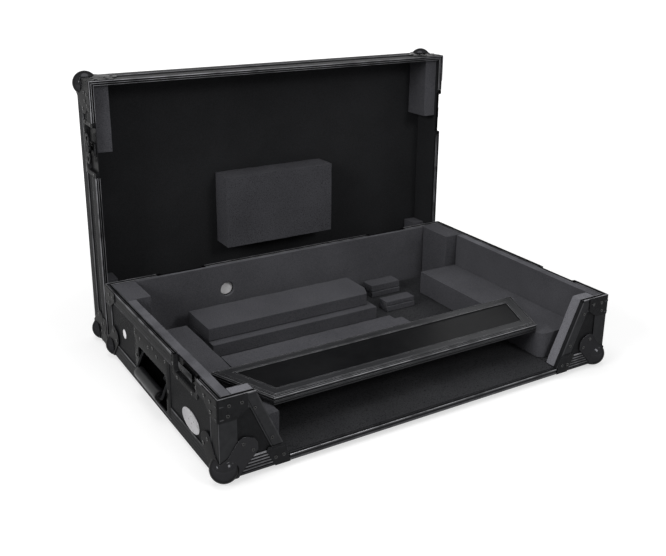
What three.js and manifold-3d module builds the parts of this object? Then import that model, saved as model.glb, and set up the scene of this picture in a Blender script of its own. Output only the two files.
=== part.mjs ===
// Flight case for dj gear, shown open and empty: a low base box with a V-shaped cut in its
// front, a removable front panel lying loose inside it, and a lift-off lid that stands on its
// rear wall behind the base. Millimetres: X to the right, Y from front to rear, Z up.

import * as THREE from 'three';
import Module from 'manifold-3d';
import { mergeVertices } from 'three/addons/utils/BufferGeometryUtils.js';

const wasm = await Module();
wasm.setup();

// Case box
const caseWidth = 800;
const caseDepth = 522;
const baseHeight = 137;
const lidHeight = 81;

// Sheet, board and clearance
const skin = 1.6;
const board = 7;
const fit = 0.3;
const overrun = 5;
const roundSides = 24;
const deckRoundSides = 6;

// Edge extrusions
const edgeLeg = 30;
const rimLeg = 25;
const rimSeat = 5;
const rimWeb = 1.5;
const rimLip = 1.2;
const outerLip = 2;
const innerLipDrop = 0.5;

// V-shaped front cut
const cutTopMargin = 62;
const cutFootMargin = 118;
const sillHeight = 10.4;
const sillDepth = 28;
const sillSheet = 1.2;

// Slanted strips and foot brackets
const stripWidth = 21.5;
const bracketSheet = 1.2;
const bracketHeight = 35;
const bracketLap = 6;
const bracketTopWidth = 33;
const bracketFootWidth = 26;

// Top corner plates
const plateSheet = 1.2;
const plateHeight = 38;
const plateFront = 48;
const plateSide = 56;
const plateFrontFoot = 28;
const plateSideFoot = 25;
const plateFrontLow = 14;
const plateSideLow = 21;
const plateDrop = 0.8;

// Ball corners
const ballRadius = 19.5;
const ballInset = 10;
const ballRings = 14;
const leafSheet = 1.4;
const leafReach = 65;
const leafShares = [
  [0, 0], [0, 0.46], [0.21, 0.58], [0.48, 0.95], [0.68, 1], [0.98, 0.77], [0.98, 0.57],
  [0.65, 0.21], [0.46, 0],
];

// Recessed handles
const dishCentre = 281;
const dishWidth = 170;
const dishFoot = 8;
const dishHeight = 105;
const dishOpeningWidth = 133;
const dishOpeningFoot = 10.5;
const dishOpeningHeight = 68;
const dishSheet = 1.2;
const dishDepth = 22;
const pivotHeight = 67;
const pivotDepth = 8;
const gripHeight = 36;
const gripStandOff = 5;
const gripRadius = 10;
const gripLength = 104;
const bailRadius = 3.2;

// Latches and keepers
const latchFront = 76.5;
const latchWidth = 103;
const keeperHeight = 38.5;
const keeperBorder = 8;
const latchHeight = 56;
const latchSheet = 1.2;
const catchWidth = 55;
const catchBar = 4;
const catchDrop = 14;
const rearKeeperMargin = 153;
const wingLength = 58;
const wingWidth = 20;
const wingSheet = 3;
const wingHole = 5;
const hubRadius = 10;
const hubHeight = 4.2;
const stemRadius = 4;
const hookWidth = 24;
const hookLength = 38;
const hookSheet = 2;
const hookRim = 3;
const hookTravel = 8;

// Cable ports and the plain oval plate
const sidePortRadius = 9.5;
const sidePortSetback = 95;
const sidePortZ = 69;
const rearPortRadius = 14.5;
const rearPortMargin = 247;
const rearPortZ = 82;
const badgeWidth = 69;
const badgeHeight = 36;
const badgeSheet = 1;
const badgeY = 110;
const badgeZ = 48.5;

// Foam in the base
const matThickness = 5.8;
const sideFoam = 17;
const cheekFoam = 21;
const rearFoam = 8;
const cornerFoamWidth = 46;
const cornerFoamDepth = 92;
const foamDrop = 0.5;
const deckHeight = 51;
const deckLeftMargin = 119;
const deckRightMargin = 123;
const deckLeftFront = 200;
const deckLeftSetback = 109;
const deckRightFront = 40;
const deckRound = 14;
const supportMargin = 121;
const supportFront = 39;
const supportRear = 110;
const stripFront = 187;
const stripRear = 259;
const stripMargin = 318;
const stripToe = 17;
const stripToeDepth = 54;
const longLeftMargin = 145;
const longRightMargin = 285;
const longFarSetback = 171;
const longSetback = 52;
const longStep = 19;
const longLow = 27;
const longTop = 53;
const longCornerWidth = 13;
const longCornerDepth = 30;
const smallStep = 2.5;
const smallLow = 12;
const smallFrontFarMargin = 248;
const smallFrontMargin = 175;
const smallFrontFarSetback = 155;
const smallFrontSetback = 123;
const smallFrontTop = 22;
const smallRearFarMargin = 232;
const smallRearMargin = 157;
const smallRearFarSetback = 73;
const smallRearSetback = 36;
const smallRearTop = 27;

// Removable front panel
const panelFront = 57;
const panelRear = 186;
const panelFrontMargin = 121;
const panelRearMargin = 68;
const panelHeight = 15.7;
const panelFlange = 25;

// Foam in the lid
const padLeft = -130;
const padRight = 122;
const padFront = 217;
const padRear = 369;
const padHeight = 55.5;
const lidFoamWidth = 30;
const lidFoamFrontLength = 126;
const lidFoamFrontHeight = 62;
const lidFoamRearLength = 117;
const lidFoamRearHeight = 39;

// Worked-out places, as depths inward from the outer faces or heights above the base
const halfWidth = caseWidth / 2;
const cutTopHalfWidth = halfWidth - cutTopMargin;
const cutFootHalfWidth = halfWidth - cutFootMargin;
const rearKeeperOffset = halfWidth - rearKeeperMargin;
const rearPortX = rearPortMargin - halfWidth;
const deckInnerLeft = halfWidth - deckLeftMargin;
const deckInnerRight = halfWidth - deckRightMargin;
const supportInner = halfWidth - supportMargin;
const stripRight = halfWidth - stripMargin;
const longLeft = longLeftMargin - halfWidth;
const longRight = halfWidth - longRightMargin;
const smallFrontLeft = halfWidth - smallFrontFarMargin;
const smallFrontRight = halfWidth - smallFrontMargin;
const smallRearLeft = halfWidth - smallRearFarMargin;
const smallRearRight = halfWidth - smallRearMargin;
const panelFrontHalf = halfWidth - panelFrontMargin;
const panelRearHalf = halfWidth - panelRearMargin;
const sidePortY = caseDepth - sidePortSetback;
const deckLeftRear = caseDepth - deckLeftSetback;
const longFront = caseDepth - longFarSetback;
const longRear = caseDepth - longSetback;
const smallFrontFront = caseDepth - smallFrontFarSetback;
const smallFrontRear = caseDepth - smallFrontSetback;
const smallRearFront = caseDepth - smallRearFarSetback;
const smallRearRear = caseDepth - smallRearSetback;
const boardOuter = skin + fit;
const boardInner = boardOuter + board;
const foamOuter = boardInner + fit;
const floorTop = boardInner;
const matTop = floorTop + fit + matThickness;
const blockFoot = matTop + fit;
const deckTop = blockFoot + deckHeight;
const foamTop = baseHeight - foamDrop;
const rimFoot = baseHeight - rimSeat;
const wallTop = rimFoot - fit;
const sideFoamInner = foamOuter + sideFoam;
const cheekFoamInner = foamOuter + cheekFoam;
const rearFoamInner = foamOuter + rearFoam;
const dishPan = (dishOpeningWidth / 2) + dishSheet;
const dishPanFoot = dishOpeningFoot - dishSheet;
const dishPanTop = dishOpeningFoot + dishOpeningHeight + dishSheet;
const latchCentre = latchFront + latchWidth / 2;
const pocketHalf = latchWidth / 2 - keeperBorder;
const flangeDepth = boardOuter - fit - latchSheet;
const pocketFloor = boardInner - fit - latchSheet;
const keeperFoot = baseHeight - keeperHeight;
const lidBoardInner = lidHeight - boardInner;
const lidFoamTop = lidBoardInner - fit;
const latchCup = latchHeight - keeperBorder;
const lidStandOff = ballRadius - ballInset + fit;

const sideName = { [-1]: 'left', 1: 'right' };
const endName = { [-1]: 'front', 1: 'rear' };
const signs = [-1, 1];

// Finishes
function finish(color, roughness, metalness) {
  return () => new THREE.MeshStandardMaterial({ color, roughness, metalness });
}
const laminate = finish(0x1d1d1f, 0.5, 0);
const blackAluminium = finish(0x242426, 0.35, 0.8);
const blackSteel = finish(0x151517, 0.32, 0.8);
const greyFoam = finish(0x3a3a3d, 0.95, 0);
const carpet = finish(0x19191b, 1, 0);
const padFoam = finish(0x2c2c2f, 0.95, 0);
const rubber = finish(0x232325, 0.7, 0);
const palePlate = finish(0xd8d8d8, 0.4, 0);

// Solids
function asSolid(geometry) {
  const bare = geometry.clone();
  bare.deleteAttribute('normal');
  bare.deleteAttribute('uv');
  const merged = mergeVertices(bare);
  return new wasm.Manifold(new wasm.Mesh({
    numProp: 3,
    vertProperties: new Float32Array(merged.attributes.position.array),
    triVerts: new Uint32Array(merged.index.array),
  }));
}

function asGeometry(solid) {
  const mesh = solid.getMesh();
  const geometry = new THREE.BufferGeometry();
  geometry.setAttribute('position', new THREE.BufferAttribute(mesh.vertProperties, 3));
  geometry.setIndex(new THREE.BufferAttribute(mesh.triVerts, 1));
  geometry.computeVertexNormals();
  return geometry;
}

function join(...geometries) {
  return asGeometry(geometries.map(asSolid).reduce((whole, next) => whole.add(next)));
}

function cut(geometry, ...cutters) {
  const start = asSolid(geometry);
  return asGeometry(cutters.map(asSolid).reduce((whole, next) => whole.subtract(next), start));
}

function block(x0, x1, y0, y1, z0, z1) {
  const size = [Math.abs(x1 - x0), Math.abs(y1 - y0), Math.abs(z1 - z0)];
  const geometry = new THREE.BoxGeometry(...size);
  return geometry.translate((x0 + x1) / 2, (y0 + y1) / 2, (z0 + z1) / 2);
}

function outline(points) {
  return new THREE.Shape(points.map(([a, b]) => new THREE.Vector2(a, b)));
}

function extruded(shape, length) {
  return new THREE.ExtrudeGeometry(shape, { depth: length, bevelEnabled: false });
}

// Prisms: an outline in two axes, carried along the third
function prismAlongY(points, y0, y1) {
  const geometry = extruded(outline(points), Math.abs(y1 - y0));
  return geometry.rotateX(Math.PI / 2).translate(0, Math.max(y0, y1), 0);
}

function prismAlongX(points, x0, x1) {
  const turn = new THREE.Matrix4().set(0, 0, 1, 0, 1, 0, 0, 0, 0, 1, 0, 0, 0, 0, 0, 1);
  const geometry = extruded(outline(points), Math.abs(x1 - x0));
  return geometry.applyMatrix4(turn).translate(Math.min(x0, x1), 0, 0);
}

function prismAlongZ(points, z0, z1) {
  const geometry = extruded(outline(points), Math.abs(z1 - z0));
  return geometry.translate(0, 0, Math.min(z0, z1));
}

// Round bars along each axis
function barAlongX(radius, x0, x1, y, z) {
  const geometry = new THREE.CylinderGeometry(radius, radius, Math.abs(x1 - x0), roundSides);
  return geometry.rotateZ(Math.PI / 2).translate((x0 + x1) / 2, y, z);
}

function barAlongY(radius, y0, y1, x, z) {
  const geometry = new THREE.CylinderGeometry(radius, radius, Math.abs(y1 - y0), roundSides);
  return geometry.translate(x, (y0 + y1) / 2, z);
}

// A rectangular ring that follows the case walls, between two depths and two heights
function wallRing(outerDepth, innerDepth, z0, z1) {
  const ring = (depth) => [
    [-halfWidth + depth, depth], [halfWidth - depth, depth],
    [halfWidth - depth, caseDepth - depth], [-halfWidth + depth, caseDepth - depth],
  ];
  const shape = outline(ring(outerDepth));
  shape.holes.push(outline(ring(innerDepth)));
  return extruded(shape, z1 - z0).translate(0, 0, z0);
}

// Places counted inward from a side face and from the front or rear face
function fromSide(side, depth) {
  return side * (halfWidth - depth);
}

function fromEnd(end, depth) {
  return end < 0 ? depth : caseDepth - depth;
}

// Half width of the V-shaped cut at a height
const cutSlope = (cutTopHalfWidth - cutFootHalfWidth) / (baseHeight - sillHeight);
function cutHalf(z) {
  return cutFootHalfWidth + (z - sillHeight) * cutSlope;
}

// A slanted band beside the cut, between two widths out from its edge
function cutBand(side, inner, outer, z0, z1) {
  return [
    [side * (cutHalf(z0) + inner), z0], [side * (cutHalf(z0) + outer), z0],
    [side * (cutHalf(z1) + outer), z1], [side * (cutHalf(z1) + inner), z1],
  ];
}

// The four wall frames: U along the wall, depth inward from the outer face, Z up
function wallPose(wall, along) {
  const poses = {
    left: { turn: -Math.PI / 2, place: [-halfWidth, along, 0] },
    right: { turn: Math.PI / 2, place: [halfWidth, along, 0] },
    rear: { turn: Math.PI, place: [along, caseDepth, 0] },
  };
  return poses[wall];
}

function onWall(geometry, wall, along) {
  const { turn, place } = wallPose(wall, along);
  return geometry.clone().rotateZ(turn).translate(...place);
}

// The assembly
const djCase = new THREE.Group();
const baseGroup = new THREE.Group();
const lidGroup = new THREE.Group();
djCase.add(baseGroup, lidGroup);

function addPiece(group, name, geometry, material) {
  const mesh = new THREE.Mesh(geometry, material());
  mesh.name = name;
  group.add(mesh);
  return mesh;
}

function addOnWall(group, name, geometry, material, wall, along) {
  const mesh = addPiece(group, name, geometry, material);
  const { turn, place } = wallPose(wall, along);
  mesh.rotation.z = turn;
  mesh.position.set(...place);
  return mesh;
}

// Keeper dish, which the lid's hook grips: flange, pocket and catch bar, open at the rim
function keeperGeometry() {
  const top = baseHeight - fit;
  const half = latchWidth / 2;
  const pocketFoot = keeperFoot + keeperBorder;
  const flange = block(-half, half, flangeDepth, flangeDepth + latchSheet, keeperFoot, top);
  const cup = block(
    -pocketHalf, pocketHalf, flangeDepth, pocketFloor + latchSheet, pocketFoot, wallTop,
  );
  const hollow = block(
    -pocketHalf + latchSheet, pocketHalf - latchSheet, -overrun, pocketFloor,
    pocketFoot + latchSheet, baseHeight + overrun,
  );
  const bar = block(
    -catchWidth / 2, catchWidth / 2, boardOuter, pocketFloor + latchSheet,
    baseHeight - catchDrop - catchBar, baseHeight - catchDrop,
  );
  const lip = block(
    -catchWidth / 2, catchWidth / 2, boardOuter, boardOuter + latchSheet,
    baseHeight - catchDrop - catchBar, wallTop,
  );
  return join(cut(join(flange, cup), hollow), bar, lip);
}

function keeperCutter() {
  const half = pocketHalf + fit;
  const foot = keeperFoot + keeperBorder - fit;
  return block(-half, half, -overrun, boardInner + overrun, foot, baseHeight + overrun);
}

function keeperNotch() {
  const half = latchWidth / 2 + fit;
  return block(-half, half, -overrun, foamOuter, keeperFoot - fit, baseHeight + overrun);
}

// Handle dish: flange on the wall and a pan let into it
function dishGeometry() {
  const half = dishWidth / 2;
  const opening = dishOpeningWidth / 2;
  const flangeBack = boardOuter - fit;
  const flange = block(-half, half, flangeBack - dishSheet, flangeBack, dishFoot, dishFoot + dishHeight);
  const pan = block(-dishPan, dishPan, flangeBack - dishSheet, dishDepth, dishPanFoot, dishPanTop);
  const hollow = block(
    -opening, opening, -overrun, dishDepth - dishSheet,
    dishOpeningFoot, dishOpeningFoot + dishOpeningHeight,
  );
  return cut(join(flange, pan), hollow);
}

function dishCutter(innerDepth) {
  return block(
    -dishPan - fit, dishPan + fit, -overrun, innerDepth, dishPanFoot - fit, dishPanTop + fit,
  );
}

function dishNotch() {
  const half = dishWidth / 2 + fit;
  return block(-half, half, -overrun, skin + fit / 2, dishFoot - fit, dishFoot + dishHeight + fit);
}

// Sprung handle: a grip on a bent steel bail that turns on two pivot pins
function handleGeometry() {
  const gripHalf = gripLength / 2;
  const legPlace = dishOpeningWidth / 2 - bailRadius - dishSheet;
  const pinEnd = dishOpeningWidth / 2 - fit;
  const legLength = Math.hypot(pivotDepth + gripStandOff, pivotHeight - gripHeight);
  const lean = Math.atan2(pivotDepth + gripStandOff, pivotHeight - gripHeight);
  const grip = barAlongX(gripRadius, -gripHalf, gripHalf, -gripStandOff, gripHeight);
  const rod = barAlongX(bailRadius, -legPlace, legPlace, -gripStandOff, gripHeight);
  const legs = signs.map((side) => {
    const leg = new THREE.CylinderGeometry(bailRadius, bailRadius, legLength, roundSides);
    leg.rotateX(Math.PI / 2 - lean);
    leg.translate(
      side * legPlace, (pivotDepth - gripStandOff) / 2, (pivotHeight + gripHeight) / 2,
    );
    return leg;
  });
  const knuckles = signs.flatMap((side) => [
    [-gripStandOff, gripHeight], [pivotDepth, pivotHeight],
  ].map(([depth, height]) => {
    const knuckle = new THREE.SphereGeometry(bailRadius, roundSides / 2, roundSides / 2);
    return knuckle.translate(side * legPlace, depth, height);
  }));
  const pins = signs.map((side) => (
    barAlongX(bailRadius, side * legPlace, side * pinEnd, pivotDepth, pivotHeight)
  ));
  return join(grip, rod, ...legs, ...knuckles, ...pins);
}

// Base boards
function addBoards() {
  const floor = block(
    fromSide(-1, foamOuter), fromSide(1, foamOuter), boardOuter, caseDepth - foamOuter,
    skin + fit, floorTop,
  );
  addPiece(baseGroup, 'floor_board', floor, laminate);

  for (const side of signs) {
    const wall = sideName[side];
    const sheet = block(
      fromSide(side, boardOuter), fromSide(side, boardInner), boardOuter, caseDepth - boardOuter,
      skin + fit, wallTop,
    );
    const cutters = [
      onWall(keeperCutter(), wall, latchCentre),
      onWall(dishCutter(boardInner + overrun), wall, dishCentre),
    ];
    if (side < 0) {
      cutters.push(barAlongX(
        sidePortRadius, -halfWidth - overrun, -halfWidth + boardInner + overrun,
        sidePortY, sidePortZ,
      ));
    }
    addPiece(baseGroup, `wall_${wall}`, cut(sheet, ...cutters), laminate);
  }

  const rear = block(
    fromSide(-1, foamOuter), fromSide(1, foamOuter),
    caseDepth - boardInner, caseDepth - boardOuter, skin + fit, wallTop,
  );
  const rearCutters = signs.map((side) => onWall(keeperCutter(), 'rear', side * rearKeeperOffset));
  rearCutters.push(barAlongY(
    rearPortRadius, caseDepth - boardInner - overrun, caseDepth + overrun, rearPortX, rearPortZ,
  ));
  addPiece(baseGroup, 'wall_rear', cut(rear, ...rearCutters), laminate);

  const edgeGap = skin * Math.hypot(1, cutSlope) + fit;
  for (const side of signs) {
    const foot = floorTop + fit;
    const cheek = prismAlongY([
      [fromSide(side, foamOuter), foot], [side * (cutHalf(foot) + edgeGap), foot],
      [side * (cutHalf(wallTop) + edgeGap), wallTop], [fromSide(side, foamOuter), wallTop],
    ], boardOuter, boardInner);
    addPiece(baseGroup, `cheek_${sideName[side]}`, cheek, laminate);
  }
}

// Frame of edge extrusions: bottom angles, sill, corner posts and rim, with the rear keepers
function addBaseFrame() {
  const posts = signs.flatMap((side) => signs.flatMap((end) => [
    block(
      fromSide(side, 0), fromSide(side, skin), fromEnd(end, 0), fromEnd(end, edgeLeg),
      0, baseHeight - outerLip,
    ),
    block(
      fromSide(side, 0), fromSide(side, edgeLeg), fromEnd(end, 0), fromEnd(end, skin),
      0, baseHeight - outerLip,
    ),
  ]));
  const ring = join(
    wallRing(0, skin, 0, edgeLeg),
    wallRing(0, edgeLeg, 0, skin),
    wallRing(0, skin, baseHeight - rimLeg, baseHeight),
    wallRing(0, boardInner, rimFoot, rimFoot + rimWeb),
    wallRing(boardInner - rimLip, boardInner, rimFoot, baseHeight - innerLipDrop),
    ...posts,
  );
  const opening = prismAlongY([
    [-cutHalf(sillHeight), sillHeight], [cutHalf(sillHeight), sillHeight],
    [cutHalf(baseHeight + overrun), baseHeight + overrun],
    [-cutHalf(baseHeight + overrun), baseHeight + overrun],
  ], -overrun, sillDepth);
  const stripRoom = signs.map((side) => prismAlongY(
    cutBand(side, -overrun, stripWidth + fit, edgeLeg, rimFoot), -overrun, boardOuter,
  ));
  const returnRoom = signs.map((side) => prismAlongY(
    cutBand(side, -overrun, skin * Math.hypot(1, cutSlope) + fit, sillHeight, edgeLeg + fit),
    -overrun, boardOuter,
  ));
  const notches = signs.flatMap((side) => [
    onWall(keeperNotch(), sideName[side], latchCentre),
    onWall(dishNotch(), sideName[side], dishCentre),
    onWall(dishCutter(edgeLeg + overrun), sideName[side], dishCentre),
    onWall(keeperNotch(), 'rear', side * rearKeeperOffset),
  ]);
  const sillFoot = floorTop + fit;
  const sill = block(
    -cutHalf(sillFoot), cutHalf(sillFoot), 0, sillDepth, sillFoot, sillFoot + sillSheet,
  );
  const frame = join(cut(ring, opening, ...stripRoom, ...returnRoom, ...notches), sill);
  const keepers = signs.map((side) => {
    const bridge = block(
      -latchWidth / 2 - overrun, latchWidth / 2 + overrun, flangeDepth,
      flangeDepth + latchSheet, keeperFoot, keeperFoot + keeperBorder,
    );
    const tabs = signs.map((edge) => block(
      edge * (latchWidth / 2), edge * (latchWidth / 2 + overrun), flangeDepth,
      flangeDepth + latchSheet, keeperFoot, rimFoot,
    ));
    return onWall(join(keeperGeometry(), bridge, ...tabs), 'rear', side * rearKeeperOffset);
  });
  addPiece(baseGroup, 'base_frame', join(frame, ...keepers), blackAluminium);
}

// Slanted cover strips beside the V-shaped cut, each with its riveted foot bracket
function addSlantStrips() {
  for (const side of signs) {
    const foot = edgeLeg + fit;
    const returnWidth = skin * Math.hypot(1, cutSlope);
    const face = prismAlongY(cutBand(side, 0, stripWidth, foot, wallTop), 0, skin);
    const turned = prismAlongY(
      cutBand(side, 0, returnWidth, sillHeight + fit, wallTop), 0, boardInner,
    );
    addPiece(baseGroup, `slant_strip_${sideName[side]}`, join(face, turned), blackAluminium);

    const topInner = cutHalf(bracketHeight) - bracketLap / 2;
    const footInner = cutFootHalfWidth - fit;
    const bracket = prismAlongY([
      [side * footInner, 0], [side * (footInner + bracketFootWidth), 0],
      [side * (topInner + bracketTopWidth), bracketHeight - bracketLap],
      [side * (topInner + bracketTopWidth - bracketLap / 2), bracketHeight],
      [side * topInner, bracketHeight],
    ], -fit, -fit - bracketSheet);
    addPiece(baseGroup, `foot_bracket_${sideName[side]}`, bracket, blackSteel);
  }
}

// Folded plates over the four top corners of the base
function addCornerPlates() {
  for (const end of signs) {
    for (const side of signs) {
      const out = -fit - plateSheet;
      const top = baseHeight - plateDrop;
      const foot = baseHeight - plateHeight;
      const faceZ = [[0, foot], [1, foot], [2, foot + plateFrontLow], [2, top], [0, top]];
      const faceX = [out, plateFrontFoot, plateFront];
      const face = prismAlongY(
        faceZ.map(([step, z]) => [fromSide(side, faceX[step]), z]),
        fromEnd(end, out), fromEnd(end, -fit),
      );
      const flankY = [out, plateSideFoot, plateSide];
      const flankZ = [[0, foot], [1, foot], [2, foot + plateSideLow], [2, top], [0, top]];
      const flank = prismAlongX(
        flankZ.map(([step, z]) => [fromEnd(end, flankY[step]), z]),
        fromSide(side, out), fromSide(side, -fit),
      );
      const name = `corner_plate_${endName[end]}_${sideName[side]}`;
      addPiece(baseGroup, name, join(face, flank), blackSteel);
    }
  }
}

// Ball corner round one corner of a box, with a leaf on each of its three faces
function ballCorner(side, end, height, up) {
  const level = (z) => height + up * z;
  const leafOut = -fit - leafSheet;
  const points = leafShares.map(([u, v]) => [u * leafReach, v * leafReach]);
  const ball = new THREE.SphereGeometry(ballRadius, roundSides, ballRings);
  ball.translate(fromSide(side, ballInset), fromEnd(end, ballInset), level(ballInset));
  const front = prismAlongY(
    points.map(([u, v]) => [fromSide(side, u), level(v)]), fromEnd(end, leafOut), fromEnd(end, -fit),
  );
  const flank = prismAlongX(
    points.map(([u, v]) => [fromEnd(end, u), level(v)]), fromSide(side, leafOut), fromSide(side, -fit),
  );
  const under = prismAlongZ(
    points.map(([u, v]) => [fromSide(side, u), fromEnd(end, v)]), level(leafOut), level(-fit),
  );
  const room = ballRadius + ballInset;
  const corner = block(
    fromSide(side, -fit), fromSide(side, room), fromEnd(end, -fit), fromEnd(end, room),
    level(-fit), level(room),
  );
  return cut(join(ball, front, flank, under), corner);
}

// Foam in the base
function addBaseFoam() {
  const mat = block(
    fromSide(-1, sideFoamInner + fit), fromSide(1, sideFoamInner + fit),
    cheekFoamInner + fit, caseDepth - rearFoamInner - fit, floorTop + fit, matTop,
  );
  addPiece(baseGroup, 'floor_mat', mat, carpet);

  const cornerFront = caseDepth - foamOuter - cornerFoamDepth;
  for (const side of signs) {
    const foot = floorTop + fit;
    const flank = block(
      fromSide(side, foamOuter), fromSide(side, sideFoamInner), foamOuter, cornerFront - fit,
      foot, foamTop,
    );
    const cheek = prismAlongY([
      [fromSide(side, foamOuter), foot], [side * cutHalf(foot), foot],
      [side * cutHalf(foamTop), foamTop], [fromSide(side, foamOuter), foamTop],
    ], foamOuter, cheekFoamInner);
    const sillRoom = block(
      -cutHalf(sillHeight), cutHalf(sillHeight), 0, sillDepth + fit, 0, sillHeight + fit,
    );
    const dishRoom = onWall(dishCutter(dishDepth + fit), sideName[side], dishCentre);
    addPiece(
      baseGroup, `side_foam_${sideName[side]}`, cut(join(flank, cheek), sillRoom, dishRoom), greyFoam,
    );
    const corner = block(
      fromSide(side, foamOuter), fromSide(side, foamOuter + cornerFoamWidth),
      cornerFront, caseDepth - foamOuter, blockFoot, foamTop,
    );
    addPiece(baseGroup, `corner_foam_${sideName[side]}`, cut(corner, dishRoom), greyFoam);
  }

  const rearHalf = halfWidth - foamOuter - cornerFoamWidth - fit;
  const rear = block(
    -rearHalf, rearHalf, caseDepth - rearFoamInner, caseDepth - foamOuter, floorTop + fit, foamTop,
  );
  const port = barAlongY(
    rearPortRadius, caseDepth - rearFoamInner - overrun, caseDepth, rearPortX, rearPortZ,
  );
  addPiece(baseGroup, 'rear_foam', cut(rear, port), greyFoam);

  const deckOuter = halfWidth - sideFoamInner - fit;
  const deckLeft = block(
    -deckOuter, -deckInnerLeft, deckLeftFront, deckLeftRear, blockFoot, deckTop,
  );
  addPiece(baseGroup, 'deck_foam_left', deckLeft, greyFoam);

  const deckRear = cornerFront - fit;
  const arc = new THREE.Shape();
  arc.moveTo(deckInnerRight + deckRound, deckRightFront);
  arc.lineTo(deckOuter, deckRightFront);
  arc.lineTo(deckOuter, deckRear);
  arc.lineTo(deckInnerRight, deckRear);
  arc.lineTo(deckInnerRight, deckRightFront + deckRound);
  arc.absarc(
    deckInnerRight + deckRound, deckRightFront + deckRound, deckRound, Math.PI, Math.PI * 1.5,
  );
  const deckRight = new THREE.ExtrudeGeometry(arc, {
    depth: deckTop - blockFoot, bevelEnabled: false, curveSegments: deckRoundSides,
  });
  addPiece(baseGroup, 'deck_foam_right', deckRight.translate(0, 0, blockFoot), greyFoam);

  const support = block(
    -deckOuter, -supportInner, supportFront, supportRear, blockFoot, deckTop,
  );
  addPiece(baseGroup, 'support_foam_left', support, greyFoam);

  const stripLeft = -deckInnerLeft + fit;
  const strip = prismAlongZ([
    [stripLeft, stripFront], [stripRight + stripToe, stripFront],
    [stripRight + stripToe, stripFront + stripToeDepth],
    [stripRight, stripFront + stripToeDepth], [stripRight, stripRear], [stripLeft, stripRear],
  ], blockFoot, deckTop);
  addPiece(baseGroup, 'strip_foam_front', strip, greyFoam);

  const longBlock = prismAlongX([
    [longFront, blockFoot], [longFront, blockFoot + longLow],
    [longFront + longStep, blockFoot + longLow], [longFront + longStep, blockFoot + longTop],
    [longRear, blockFoot + longTop], [longRear, blockFoot],
  ], longLeft, longRight);
  const slicedCorner = prismAlongZ([
    [longRight - longCornerWidth, longFront + longStep],
    [longRight + longCornerWidth, longFront + longStep + longCornerDepth * 2],
    [longRight + longCornerWidth, longFront],
    [longRight - longCornerWidth, longFront],
  ], blockFoot + longLow, blockFoot + longTop + overrun);
  addPiece(baseGroup, 'long_block_foam', cut(longBlock, slicedCorner), greyFoam);

  addSmallBlock(
    'small_block_front', smallFrontLeft, smallFrontRight, smallFrontFront, smallFrontRear,
    smallFrontTop,
  );
  addSmallBlock(
    'small_block_rear', smallRearLeft, smallRearRight, smallRearFront, smallRearRear, smallRearTop,
  );
}

function addSmallBlock(name, left, right, front, rear, height) {
  const tiers = prismAlongX([
    [front, blockFoot], [front, blockFoot + smallLow], [front + smallStep, blockFoot + smallLow],
    [front + smallStep, blockFoot + height], [rear, blockFoot + height], [rear, blockFoot],
  ], left, right);
  addPiece(baseGroup, name, tiers, greyFoam);
}

// Oval plate on the left wall, bare
function addBadge() {
  const oval = new THREE.Shape();
  oval.absellipse(0, badgeZ, badgeWidth / 2, badgeHeight / 2, 0, Math.PI * 2);
  const plate = new THREE.ExtrudeGeometry(oval, {
    depth: badgeSheet, bevelEnabled: false, curveSegments: roundSides,
  });
  plate.rotateX(Math.PI / 2).translate(0, boardOuter - fit, 0);
  addOnWall(baseGroup, 'badge_plate', plate, palePlate, 'left', badgeY);
}

// Front panel, lying flat on the foam: a board in a frame of channel extrusion
function addPanel() {
  const slope = (panelRearHalf - panelFrontHalf) / (panelRear - panelFront);
  const trapezoid = (inset) => {
    const slant = inset * Math.hypot(1, slope);
    const half = (y) => panelFrontHalf + (y - panelFront) * slope - slant;
    return [
      [-half(panelFront + inset), panelFront + inset], [half(panelFront + inset), panelFront + inset],
      [half(panelRear - inset), panelRear - inset], [-half(panelRear - inset), panelRear - inset],
    ];
  };
  const foot = deckTop + fit;
  const top = foot + panelHeight;
  const window = prismAlongZ(trapezoid(panelFlange), foot - overrun, top + overrun);
  const slot = prismAlongZ(trapezoid(skin), foot + skin, top - skin);
  const frame = cut(prismAlongZ(trapezoid(0), foot, top), window, slot);
  addPiece(baseGroup, 'panel_frame', frame, blackAluminium);
  const sheet = prismAlongZ(trapezoid(skin + fit), foot + skin + fit, top - skin - fit);
  addPiece(baseGroup, 'panel_board', sheet, laminate);
}

// Butterfly latch in the lid's wall: dish, hook and turning wing
function latchDishGeometry() {
  const half = latchWidth / 2;
  const flange = block(-half, half, flangeDepth, flangeDepth + latchSheet, fit, latchHeight);
  const cup = block(-pocketHalf, pocketHalf, flangeDepth, pocketFloor + latchSheet, rimSeat, latchCup);
  const hollow = block(
    -pocketHalf + latchSheet, pocketHalf - latchSheet, -overrun, pocketFloor,
    -overrun, latchCup - latchSheet,
  );
  const stemHole = barAlongY(
    stemRadius + fit, pocketFloor - overrun, boardInner + overrun, 0, latchHeight / 2,
  );
  return cut(join(flange, cup), hollow, stemHole);
}

function wingGeometry() {
  const centre = latchHeight / 2;
  const end = wingWidth / 2;
  const reach = wingLength / 2 - end;
  const plateBack = -fit;
  const plateFace = plateBack - wingSheet;
  const plate = join(
    block(-reach, reach, plateFace, plateBack, centre - end, centre + end),
    ...signs.map((side) => barAlongY(end, plateFace, plateBack, side * reach, centre)),
  );
  const holes = signs.map((side) => (
    barAlongY(wingHole, plateFace - overrun, plateBack + overrun, side * reach, centre)
  ));
  const hub = barAlongY(hubRadius, -hubHeight, flangeDepth + latchSheet, 0, centre);
  const stem = barAlongY(stemRadius, 0, pocketFloor + latchSheet - fit, 0, centre);
  return join(cut(plate, ...holes), hub, stem);
}

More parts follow.
